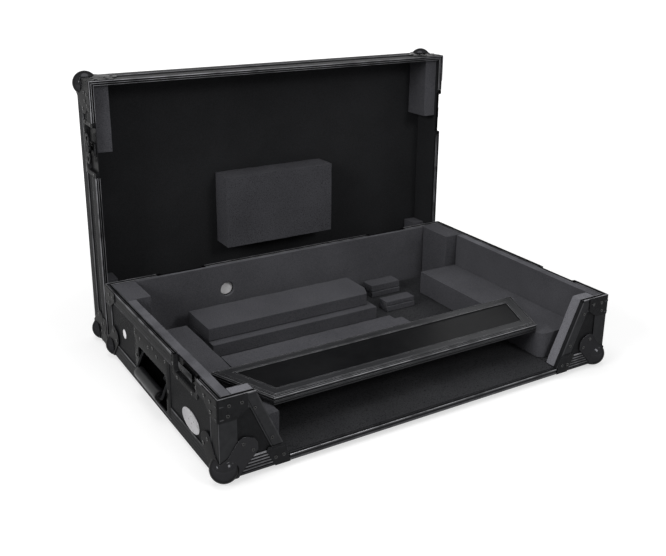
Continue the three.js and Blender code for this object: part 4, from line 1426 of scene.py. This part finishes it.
class CASE_OT_latches(bpy.types.Operator):
    """Keepers in the base and turning latches in the lid"""

    bl_idname = "flight_case.latches"
    bl_label = "Latches and keepers"

    def execute(self, context):
        k = settings("latches")
        top = BASE_TOP - GAP
        keepers = [("left", "left", k.centre, ["latch_keeper_left"]),
                   ("right", "right", k.centre, ["latch_keeper_right"]),
                   ("rear_left", "rear", -k.rear_offset, ["base_frame"]),
                   ("rear_right", "rear", k.rear_offset, ["base_frame"])]
        for name, wall, along, replaced in keepers:
            space = wall_space(BASE, wall, along)
            skin = pressed_tray(k, BASE_TOP - k.keeper, top)
            mesh = build_mesh("keeper", [skin])
            mesh = trimmed(mesh, (0, 0, top), (0, 0, 1))
            bar_low = BASE_TOP - 0.018
            bars = [
                box((-0.0275, 0.0275), (0.0019, 0.0074), (bar_low, bar_low + 0.004)),
                box((-0.0275, 0.0275), (0.0019, 0.0031), (bar_low, BASE_TOP - 0.0053)),
            ]
            extra = softened(build_mesh("bar", bars), 0.0004)
            mesh = joined([mesh, extra], space)
            add_piece(f"keeper_{name}", mesh, "black_steel", "base", replaced)
        for name in SIDES:
            space = wall_space(LID, name, k.centre)
            skin = pressed_tray(k, 0, k.dish - GAP)
            skin = ([(u, d, k.dish - z) for u, d, z in skin[0]], skin[1])
            mesh = build_mesh("dish", [skin])
            mesh = trimmed(mesh, (0, 0, GAP), (0, 0, -1))
            mesh.transform(space)
            refaced(mesh)
            add_piece(f"latch_tray_{name}", mesh, "black_steel", "lid",
                      [f"latch_dish_{name}"])
            self.wing(k, name, space)
        return {"FINISHED"}

    def wing(self, k, name, space):
        """Turning wing with its hub, and the hook behind it."""
        centre = k.dish / 2
        end = k.wing_width / 2
        reach = k.wing / 2 - end
        steps = 14
        outline = []
        for side, start in ((1, -0.5), (-1, 0.5)):
            for i in range(steps + 1):
                a = (start + i / steps) * math.pi
                outline.append((side * reach + end * math.cos(a), centre + end * math.sin(a)))
        face = -0.0033
        skin = turned([prism(outline, face, -GAP)], (0, 2, 1))
        plate = build_mesh("wing", skin)
        for side in (-1, 1):
            hole = loft(disc(k.wing_hole, 24, (side * reach, centre), [(1, -0.01), (1, 0.01)]))
            plate = cut_by(plate, build_mesh("hole", [hole]))
        for side in (-1, 1):
            notch = box((-0.009, 0.009), (-0.01, 0.01),
                        sorted((centre + side * (end - 0.0035), centre + side * (end + 0.002))))
            plate = cut_by(plate, build_mesh("waist", [notch]))
        plate = softened(plate, 0.0005)
        hub = loft(disc(0.010, 32, (0, centre), [
            (0.0001, -0.0042), (0.35, -0.0042), (0.42, -0.0036), (0.6, -0.0036), (0.68, -0.0042),
            (0.93, -0.0042), (1, -0.0036), (1, 0.0014), (0.0001, 0.0014),
        ]))
        stem = loft(disc(0.004, 20, (0, centre), [(1, 0.001), (1, 0.0073)]))
        hub = build_mesh("hub", [hub, stem])
        body = f"latch_wing_{name}"
        mesh = joined([plate, hub], space)
        add_piece(f"wing_{name}", mesh, "black_steel", body, [body])
        back = 0.0063
        tongue = build_mesh("tongue", [box((-0.012, 0.012), (back - 0.002, back), (0.003, 0.041))])
        slot = box((-0.0043, 0.0043), (0, 0.02), (centre - 0.0043, centre + 0.0123))
        tongue = softened(cut_by(tongue, build_mesh("slot", [slot])), 0.0004)
        lip = box((-0.0116, 0.0116), (back - 0.0032, back - 0.0016), (0.0034, 0.0056))
        lip = softened(build_mesh("lip", [lip]), 0.0004)
        body = f"latch_hook_{name}"
        mesh = joined([tongue, lip], space)
        add_piece(f"hook_{name}", mesh, "black_steel", body, [body])


# Foam


def foam_mesh(outline, low, high, space=BASE, order=(0, 1, 2), cutters=()):
    """A foam block on an outline, with rounded edges and a grid of points on every face."""
    f = settings("foam")
    mesh = build_mesh("block", turned([prism(outline, low, high)], order))
    for cutter in cutters:
        mesh = cut_by(mesh, build_mesh("cutter", [cutter]))
    mesh = softened(mesh, f.edge, 2, math.radians(20))
    work = bmesh.new()
    work.from_mesh(mesh)
    for axis in range(3):
        values = [v.co[axis] for v in work.verts]
        first, last = min(values), max(values)
        number = max(1, int((last - first) / f.cell))
        direction = Vector([1.0 if i == axis else 0.0 for i in range(3)])
        levels = [first + (last - first) * i / number for i in range(1, number)]
        for level in (first + 1.8 * f.edge, *levels, last - 1.8 * f.edge):
            place = direction * level
            bmesh.ops.bisect_plane(
                work, geom=[*work.verts, *work.edges, *work.faces], plane_co=place,
                plane_no=direction,
            )
    work.transform(space)
    bmesh.ops.recalc_face_normals(work, faces=work.faces)
    crested(work)
    made = bpy.data.meshes.new("foam")
    work.to_mesh(made)
    work.free()
    return made


def add_foam(name, mesh, replaced, material="cut_foam", body="base", uneven=1.0):
    """Shows cut foam as a named piece, its faces made uneven by the node tree."""
    f = settings("foam")
    mesh = run_tree(
        name, mesh, "cut_foam_faces", Uneven=f.uneven * uneven, Seed=f.seed, Finish=finish(material)
    )
    piece = add_piece(name, mesh, material, body, replaced, math.radians(50))
    return piece


class CASE_OT_base_foam(bpy.types.Operator):
    """Liners, decks and blocks of foam in the base, and the floor lining"""

    bl_idname = "flight_case.base_foam"
    bl_label = "Foam in the base"

    def execute(self, context):
        outer, top, foot = 0.0092, 0.1365, 0.0092
        block_foot, deck = 0.0153, 0.0663
        h = settings("handles")
        for name, side in SIDES.items():
            def x(a, b, side=side):
                return sorted((side * (HALF - a), side * (HALF - b)))
            node = [f"side_foam_{name}"]
            pan = box(
                x(outer - 0.003, h.depth + 0.0006),
                (h.centre - h.opening / 2 - 0.0022, h.centre + h.opening / 2 + 0.0022),
                (foot - 0.003, h.opening_foot + h.opening_height + 0.0022),
            )
            mesh = foam_mesh(flat(x(outer, 0.0262), (outer, 0.4205)), foot, top, cutters=[pan])
            add_foam(f"side_liner_{name}", mesh, node, "lining_foam")
            near = HALF - 0.0264
            cheek = [(near, foot + 0.002), (cut_half(0.0112), foot + 0.002),
                     (cut_half(top), top - 0.0004), (near, top - 0.0004)]
            mesh = foam_mesh([(side * u, z) for u, z in cheek], outer, 0.0302, order=(0, 2, 1))
            # same foam as the side liner, in the lighter finish that also holds painted light
            add_foam(f"cheek_liner_{name}", mesh, node, "cut_edge_foam_painted_light")
            mesh = foam_mesh(flat(x(outer, 0.0552), (0.4208, 0.5128)), block_foot, top)
            add_foam(f"corner_block_{name}", mesh, [f"corner_foam_{name}"])
        port = loft(disc(0.0145, 36, (-0.153, 0.082), [(1, 0.49), (1, 0.53)]))
        mesh = foam_mesh(flat((-0.3445, 0.3445), (0.5048, 0.5128)), foot, top, cutters=[port])
        add_foam("rear_liner", mesh, ["rear_foam"], "lining_foam", uneven=0.7)

        bend, corner = 0.014, []
        for i in range(7):
            a = math.pi + i / 6 * math.pi / 2
            corner.append((0.277 + bend + bend * math.cos(a), 0.040 + bend + bend * math.sin(a)))
        deck_right = [*corner, (0.3735, 0.040), (0.3735, 0.4205), (0.277, 0.4205)]
        strip = [(-0.2807, 0.187), (0.099, 0.187), (0.099, 0.241), (0.082, 0.241),
                 (0.082, 0.259), (-0.2807, 0.259)]
        upper = [(-0.255, 0.370), (0.102, 0.370), (0.115, 0.400), (0.115, 0.470), (-0.255, 0.470)]
        rows = [
            ("deck_left", flat((-0.3735, -0.281), (0.200, 0.413)), block_foot, deck,
             "deck_foam_left"),
            ("deck_right", deck_right, block_foot, deck, "deck_foam_right"),
            ("deck_support_left", flat((-0.3735, -0.279), (0.039, 0.110)), block_foot, deck,
             "support_foam_left"),
            ("front_strip", strip, block_foot, deck, "strip_foam_front"),
            ("long_block_lower", flat((-0.255, 0.115), (0.351, 0.470)), block_foot, 0.0423,
             "long_block_foam"),
            ("long_block_upper", upper, 0.0425, 0.0683, "long_block_foam"),
        ]
        step = block_foot + 0.012
        for name, xs, (near, far), tall in (
            ("small_block_front", (0.152, 0.225), (0.367, 0.399), 0.022),
            ("small_block_rear", (0.168, 0.243), (0.449, 0.486), 0.027),
        ):
            rows += [
                (f"{name}_lower", flat(xs, (near, far)), block_foot, step, name),
                (f"{name}_upper", flat(xs, (near + 0.0025, far)), step + 0.0002,
                 block_foot + tall, name),
            ]
        for name, outline, low, high, node in rows:
            add_foam(name, foam_mesh(outline, low, high), [node])

        tongue = [(0.0078, 0.0105), (0.1868, 0.0105), (0.1868, 0.0150), (0.060, 0.0150),
                  (0.0300, 0.0136), (0.0078, 0.0114)]
        linings = [("rear", foam_mesh(flat((-0.3735, 0.3735), (0.1870, 0.5045)), foot, 0.015)),
                   ("front", foam_mesh(tongue, -0.2810, 0.2810, order=(2, 0, 1)))]
        for name, side in SIDES.items():
            xs = sorted((side * 0.2812, side * 0.3735))
            linings.append((name, foam_mesh(flat(xs, (0.0305, 0.1868)), foot, 0.015)))
        for name, mesh in linings:
            add_foam(f"floor_lining_{name}", mesh, ["floor_mat"], "dark_carpet",
                     uneven=0.3)
        return {"FINISHED"}


class CASE_OT_lid_foam(bpy.types.Operator):
    """Foam pad and corner foams in the lid, and its felt lining"""

    bl_idname = "flight_case.lid_foam"
    bl_label = "Foam in the lid"

    def execute(self, context):
        back = 0.0718
        mesh = foam_mesh(flat((-0.130, 0.122), (0.217, 0.369)), back - 0.0555, back, LID)
        add_foam("lid_pad", mesh, ["lid_pad_foam"], "pad_foam", "lid")
        for name, side in SIDES.items():
            for end_name, end in ENDS.items():
                long, tall = (0.126, 0.062) if end < 0 else (0.117, 0.039)
                x = sorted((side * (HALF - 0.0092), side * (HALF - 0.0392)))
                y = (0.0092, 0.0092 + long) if end < 0 else (DEPTH - 0.0092 - long, DEPTH - 0.0092)
                mesh = foam_mesh(flat(x, y), back - tall, back, LID)
                add_foam(f"lid_corner_block_{end_name}_{name}", mesh,
                         [f"lid_corner_foam_{end_name}_{name}"], body="lid")
        inner = 0.0090
        wide, deep = HALF - inner, DEPTH - inner
        sheets = [
            box((-wide, wide), (inner, deep), (back + 0.0001, back + 0.0003)),
            box((-wide, wide), (inner, inner + 0.0002), (0.0055, back)),
            box((-wide, wide), (deep - 0.0002, deep), (0.0055, back)),
            box((-wide, -wide + 0.0002), (inner, deep), (0.0055, back)),
            box((wide - 0.0002, wide), (inner, deep), (0.0055, back)),
        ]
        mesh = build_mesh("lid_felt", sheets, LID)
        add_piece("lid_felt", mesh, "black_felt", "lid")
        return {"FINISHED"}


class CASE_OT_panel(bpy.types.Operator):
    """Loose front panel: ribbed frame and laminate board"""

    bl_idname = "flight_case.panel"
    bl_label = "Front panel"

    def execute(self, context):
        p, e = settings("panel"), settings("edges")
        slope = (p.rear_half - p.front_half) / (p.rear - p.front)
        slant = math.hypot(1, slope)

        def corner(side, end):
            def place(d, h):
                y = p.front + d if end < 0 else p.rear - d
                half = p.front_half + (y - p.front) * slope - d * slant
                return (side * half, y, h)
            return place
        thick = e.sheet
        low, high = p.foot, p.foot + p.height
        edge = 0.0005
        groove = e.groove * 1.3
        # crests marked up to 1 get wear and painted highlight; groove bottoms marked -0.6 to -0.8
        # get painted shade
        profile = [
            (0.0010, high - 0.0022, 0), (0.0003, high - 0.0034, 1), (0, high - 0.0042, 0),
            (0, high - 0.0056, 0.3), (groove, high - 0.0060, -0.8), (groove, high - 0.0074, -0.8),
            (0, high - 0.0078, 0.85), (0, high - 0.0084, 0), (0, low + 0.0046, 0),
            (0, low + 0.0042, 0.8), (groove, low + 0.0038, -0.8), (groove, low + 0.0024, -0.8),
            (0, low + 0.0020, 0.6), (0, low + edge, 0), (edge, low, 0.66), (p.flange, low, 0),
            (p.flange, low + thick, 0), (thick, low + thick, 0), (thick, high - thick, 0),
            (p.flange, high - thick, 0), (p.flange, high - edge, 0), (p.flange - edge, high, 0.95),
            (p.flange - 0.0012, high, 0), (p.flange - 0.0026, high, 0),
            (p.flange - 0.0030, high - 0.0005, -0.7), (p.flange - 0.0036, high - 0.0005, -0.7),
            (p.flange - 0.0040, high, 0.85), (p.flange - 0.0050, high, 0), (0.0090, high, 0),
            (0.0080, high, 0.9), (0.0076, high - 0.0006, -0.7), (0.0064, high - 0.0006, -0.7),
            (0.0060, high, 0.3), (0.0054, high, 0), (0.0048, high, 0.9),
            (0.0044, high - 0.0008, -0.6), (0.0030, high - 0.0014, -0.6),
            (0.0026, high - 0.0012, 1), (0.0020, high - 0.0015, 0),
        ]
        stations = [corner(-1, -1), corner(1, -1), corner(1, 1), corner(-1, 1)]
        loops = [[s(d, h) for d, h, _ in profile] for s in stations]
        crests = [c for _ in stations for *_, c in profile]
        mesh = build_mesh("panel_rails", [tube(loops)], BASE, crests + [c for *_, c in profile])
        add_piece("panel_rails", mesh, "panel_extrusion", "front_panel",
                  ["panel_frame"])
        inset = thick + GAP
        outline = [corner(-1, -1)(inset, 0), corner(1, -1)(inset, 0), corner(1, 1)(inset, 0),
                   corner(-1, 1)(inset, 0)]
        skin = prism([(x, y) for x, y, _ in outline], low + inset, high - inset)
        mesh = build_mesh("panel_sheet", [skin], BASE)
        add_piece("panel_sheet", mesh, "panel_laminate", "front_panel", ["panel_board"])
        return {"FINISHED"}


class CASE_OT_boards(bpy.types.Operator):
    """Finish of the plywood boards, the bare oval plate and the port plugs"""

    bl_idname = "flight_case.boards"
    bl_label = "Boards, plate and plugs"

    def execute(self, context):
        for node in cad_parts.values():
            if node.hide_render:
                continue
            node.data.materials.clear()
            node.data.materials.append(finish("black_laminate"))
        space = wall_space(BASE, "left", 0.110)
        wide, tall, centre = 0.0345, 0.018, 0.0485
        steps = ((-0.0016, 0.0010), (-0.0012, 0.0008), (-0.0008, 0.0006), (-0.0002, 0.0006),
                 (0, 0.0008), (0, 0.0016))
        loops = [oval(wide + grow, tall + grow, 64, (0, centre), depth) for grow, depth in steps]
        mesh = build_mesh("oval_plate", [loft(loops)], space)
        add_piece("oval_plate", mesh, "pale_metal", "base", ["badge_plate"])

        shape = [(0.0001, 0.2), (0.6, 0.0), (0.82, 0.1), (0.97, 0.35), (1, 1.6), (0.94, 3.0),
                 (0.0001, 3.0)]
        for name, wall, along, height, radius, start, way in (
            ("side", "left", 0.427, 0.069, 0.0092, 0.0016, 0.001),
            ("rear", "rear", -0.153, 0.082, 0.0142, 0.0089, -0.001),
        ):
            plug = loft(disc(radius, 40, (0, height), [(r, start + d * way) for r, d in shape]))
            mesh = build_mesh(f"{name}_plug", [plug], wall_space(BASE, wall, along))
            add_piece(f"{name}_plug", mesh, "pale_plug", "base")
        return {"FINISHED"}


class CASE_OT_rivets(bpy.types.Operator):
    """Blind rivets of base and lid"""

    bl_idname = "flight_case.rivets"
    bl_label = "Rivets"

    def execute(self, context):
        r, c = settings("rivets"), settings("corners")
        h, k = settings("handles"), settings("latches")
        groups = {"base": [], "lid": []}

        def put(body, space, point, facing):
            direction = (space.to_3x3() @ Vector(facing)).normalized()
            groups[body].append((space @ Vector(point), direction))
        leaf = -GAP - c.sheet
        pairs = [(0.0387, 0.054), (0.0546, 0.040)]
        plate = -0.0015
        for side in SIDES.values():
            for end in ENDS.values():
                for body, space, flip in (("base", BASE, 0), ("lid", LID, LID_HEIGHT)):
                    corner = corner_space(space, side, end, flip)
                    for u, v in pairs:
                        put(body, corner, (u, leaf, v), (0, -1, 0))
                        put(body, corner, (leaf, u, v), (-1, 0, 0))
                        put(body, corner, (u, v, leaf), (0, 0, -1))
                for body, corner, top, way in (
                    ("base", corner_space(BASE, side, end), BASE_TOP, -1),
                    ("lid", corner_space(LID, side, end), 0.0, 1),
                ):
                    for x, z in ((0.0173, 0.013), (0.0152, 0.0294), (0.038, 0.013)):
                        put(body, corner, (x, plate, top + way * z), (0, -1, 0))
                        put(body, corner, (plate, x + 0.008, top + way * z), (-1, 0, 0))
        for side in SIDES.values():
            for x, z in ((0.3403, 0.1087), (0.3124, 0.0504)):
                put("base", BASE, (side * x, 0, z), (0, -1, 0))
            for x, z in ((0.3074, 0.0148), (0.2935, 0.0156)):
                put("base", BASE, (side * x, plate, z), (0, -1, 0))
        for name in SIDES:
            tray = wall_space(BASE, name, h.centre)
            for u, z in ((-0.078, 0.100), (-0.052, 0.098), (-0.011, 0.099), (0.011, 0.106),
                         (0.029, 0.098), (0.070, 0.107), (0.078, 0.056), (-0.078, 0.056)):
                put("base", tray, (u, FACE, z), (0, -1, 0))
            lid = wall_space(LID, name, k.centre)
            for u in (-0.0475, 0.0475):
                for z in (0.010, 0.046):
                    put("lid", lid, (u, FACE, z), (0, -1, 0))
            for u in (-0.030, 0.030):
                put("lid", lid, (u, FACE, 0.0522), (0, -1, 0))
        keepers = [("left", k.centre), ("right", k.centre), ("rear", k.rear_offset),
                   ("rear", -k.rear_offset)]
        for wall, along in keepers:
            keeper = wall_space(BASE, wall, along)
            for u, z in ((-0.0475, 0.120), (0.0475, 0.120), (-0.030, 0.1022), (0.030, 0.1022)):
                put("base", keeper, (u, FACE, z), (0, -1, 0))
        for body, places in groups.items():
            mesh = run_tree(
                f"rivets_{body}", point_mesh("rivet_points", places), "rivet_heads",
                Radius=r.radius, Rise=r.rise, Sides=r.sides, Finish=finish("rivet_black"),
            )
            add_piece(f"rivets_{body}", mesh, "rivet_black", body, (), math.radians(60))
        return {"FINISHED"}


def seen_rays(tree):
    """One where the camera sees a surface, directly, mirrored or through glass."""
    path = add_node(tree, "ShaderNodeLightPath").outputs
    seen = maths(tree, "ADD", path["Is Camera Ray"], path["Is Glossy Ray"], True)
    return maths(tree, "ADD", seen, path["Is Transmission Ray"], True)


CAMERA_PLACE = (-0.8474, -1.3563, 0.7788)
LAMP_AIM = (0, 0, 0.2)
FLOOR_REACH = 12.0


class CASE_OT_stage(bpy.types.Operator):
    """Pale floor, soft studio light and camera"""

    bl_idname = "flight_case.stage"
    bl_label = "Stage"

    def execute(self, context):
        s = settings("stage")
        scene = bpy.context.scene
        mesh = bpy.data.meshes.new("floor")
        reach = (-FLOOR_REACH, FLOOR_REACH)
        mesh.from_pydata([(x, y, 0) for x, y in flat(reach, reach)], [], [(0, 1, 2, 3)])
        floor = bpy.data.objects.new("floor", mesh)
        scene.collection.objects.link(floor)
        material = bpy.data.materials.new("pale_floor")
        material.use_nodes = True
        tree = material.node_tree
        shader = tree.nodes["Principled BSDF"]
        patches = effect(tree, "surface_patches", Scale=2.0, Fine_Scale=40.0)
        tone = mixed(tree, patches["Fine"], (s.floor,) * 3, (s.floor * 1.03,) * 3)
        tree.links.new(tone, shader.inputs["Base Color"])
        shader.inputs["Roughness"].default_value = 0.9
        shader.inputs["Specular IOR Level"].default_value = 0.1
        place = add_node(tree, "ShaderNodeTexCoord").outputs["Object"]
        away = add_node(tree, "ShaderNodeVectorMath", {0: place}, operation="LENGTH")
        glow = ranged(tree, away.outputs["Value"], 0.65, 1.4, 1.1 - s.floor, 1.0)
        shader.inputs["Emission Color"].default_value = (1, 1, 1, 1)
        tree.links.new(
            maths(tree, "MULTIPLY", seen_rays(tree), glow), shader.inputs["Emission Strength"]
        )
        mesh.materials.append(material)

        for name, place, size, watts in (
            ("top_light", (-0.3, 0.1, 3.0), 2.2, s.top),
            ("key_light", (0.68, -2.36, 1.75), 0.85, s.key),
            ("left_light", (-2.6, -0.7, 1.5), 1.3, s.left),
            ("right_light", (2.2, -1.0, 1.7), 1.0, s.right),
        ):
            data = bpy.data.lights.new(name, "AREA")
            data.shape = "DISK"
            data.size = size
            data.energy = watts
            lamp = bpy.data.objects.new(name, data)
            lamp.location = place
            aim = Vector(LAMP_AIM) - Vector(place)
            lamp.rotation_mode = "QUATERNION"
            lamp.rotation_quaternion = aim.to_track_quat("-Z", "Y")
            scene.collection.objects.link(lamp)

        world = bpy.data.worlds.new("studio")
        world.use_nodes = True
        tree = world.node_tree
        background = tree.nodes["Background"]
        strength = ranged(tree, seen_rays(tree), 0.0, 1.0, s.sky, 1.0)
        tree.links.new(strength, background.inputs["Strength"])
        background.inputs["Color"].default_value = (1, 1, 1, 1)
        scene.world = world

        camera = bpy.data.objects.new("camera", bpy.data.cameras.new("camera"))
        camera.data.lens = s.lens
        camera.data.shift_y = s.shift
        a, t, r = s.azimuth, s.elevation, s.roll
        forward = Vector((math.sin(a) * math.cos(t), math.cos(a) * math.cos(t), -math.sin(t)))
        right = Vector((math.cos(a), -math.sin(a), 0))
        up = right.cross(forward)
        across = right * math.cos(r) + up * math.sin(r)
        above = -right * math.sin(r) + up * math.cos(r)
        turn = Matrix((across, above, -forward)).transposed()
        camera.matrix_world = Matrix.Translation(CAMERA_PLACE) @ turn.to_4x4()
        scene.collection.objects.link(camera)
        scene.camera = camera
        scene.view_settings.view_transform = "Standard"
        return {"FINISHED"}


OPERATORS = (
    CASE_OT_edges, CASE_OT_strips, CASE_OT_balls, CASE_OT_plates, CASE_OT_handles,
    CASE_OT_latches, CASE_OT_base_foam, CASE_OT_lid_foam, CASE_OT_panel, CASE_OT_boards,
    CASE_OT_rivets, CASE_OT_stage,
)


class CASE_PT_pieces(bpy.types.Panel):
    """Lists the groups of pieces and their settings"""

    bl_idname = "CASE_PT_pieces"
    bl_label = "Flight Case"
    bl_space_type = "VIEW_3D"
    bl_region_type = "UI"
    bl_category = "Flight Case"

    def draw(self, context):
        for operator in OPERATORS:
            self.layout.operator(operator.bl_idname)
        for key in SETTINGS:
            group = getattr(context.scene.flight_case, key)
            section = self.layout.box()
            section.label(text=key.capitalize())
            for value in group.bl_rna.properties:
                if value.identifier not in ("rna_type", "name"):
                    section.prop(group, value.identifier)


CLASSES = (*SETTINGS.values(), CaseSettings, *OPERATORS, CASE_PT_pieces)


def register():
    for item in CLASSES:
        bpy.utils.register_class(item)
    bpy.types.Scene.flight_case = bpy.props.PointerProperty(type=CaseSettings)


def unregister():
    del bpy.types.Scene.flight_case
    for item in reversed(CLASSES):
        bpy.utils.unregister_class(item)


def main():
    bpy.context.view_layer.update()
    register()
    for operator in OPERATORS:
        _, name = operator.bl_idname.split(".")
        result = getattr(bpy.ops.flight_case, name)()
        if result != {"FINISHED"}:
            raise RuntimeError(f"{operator.bl_label} was not built")


if __name__ == "__main__":
    main()
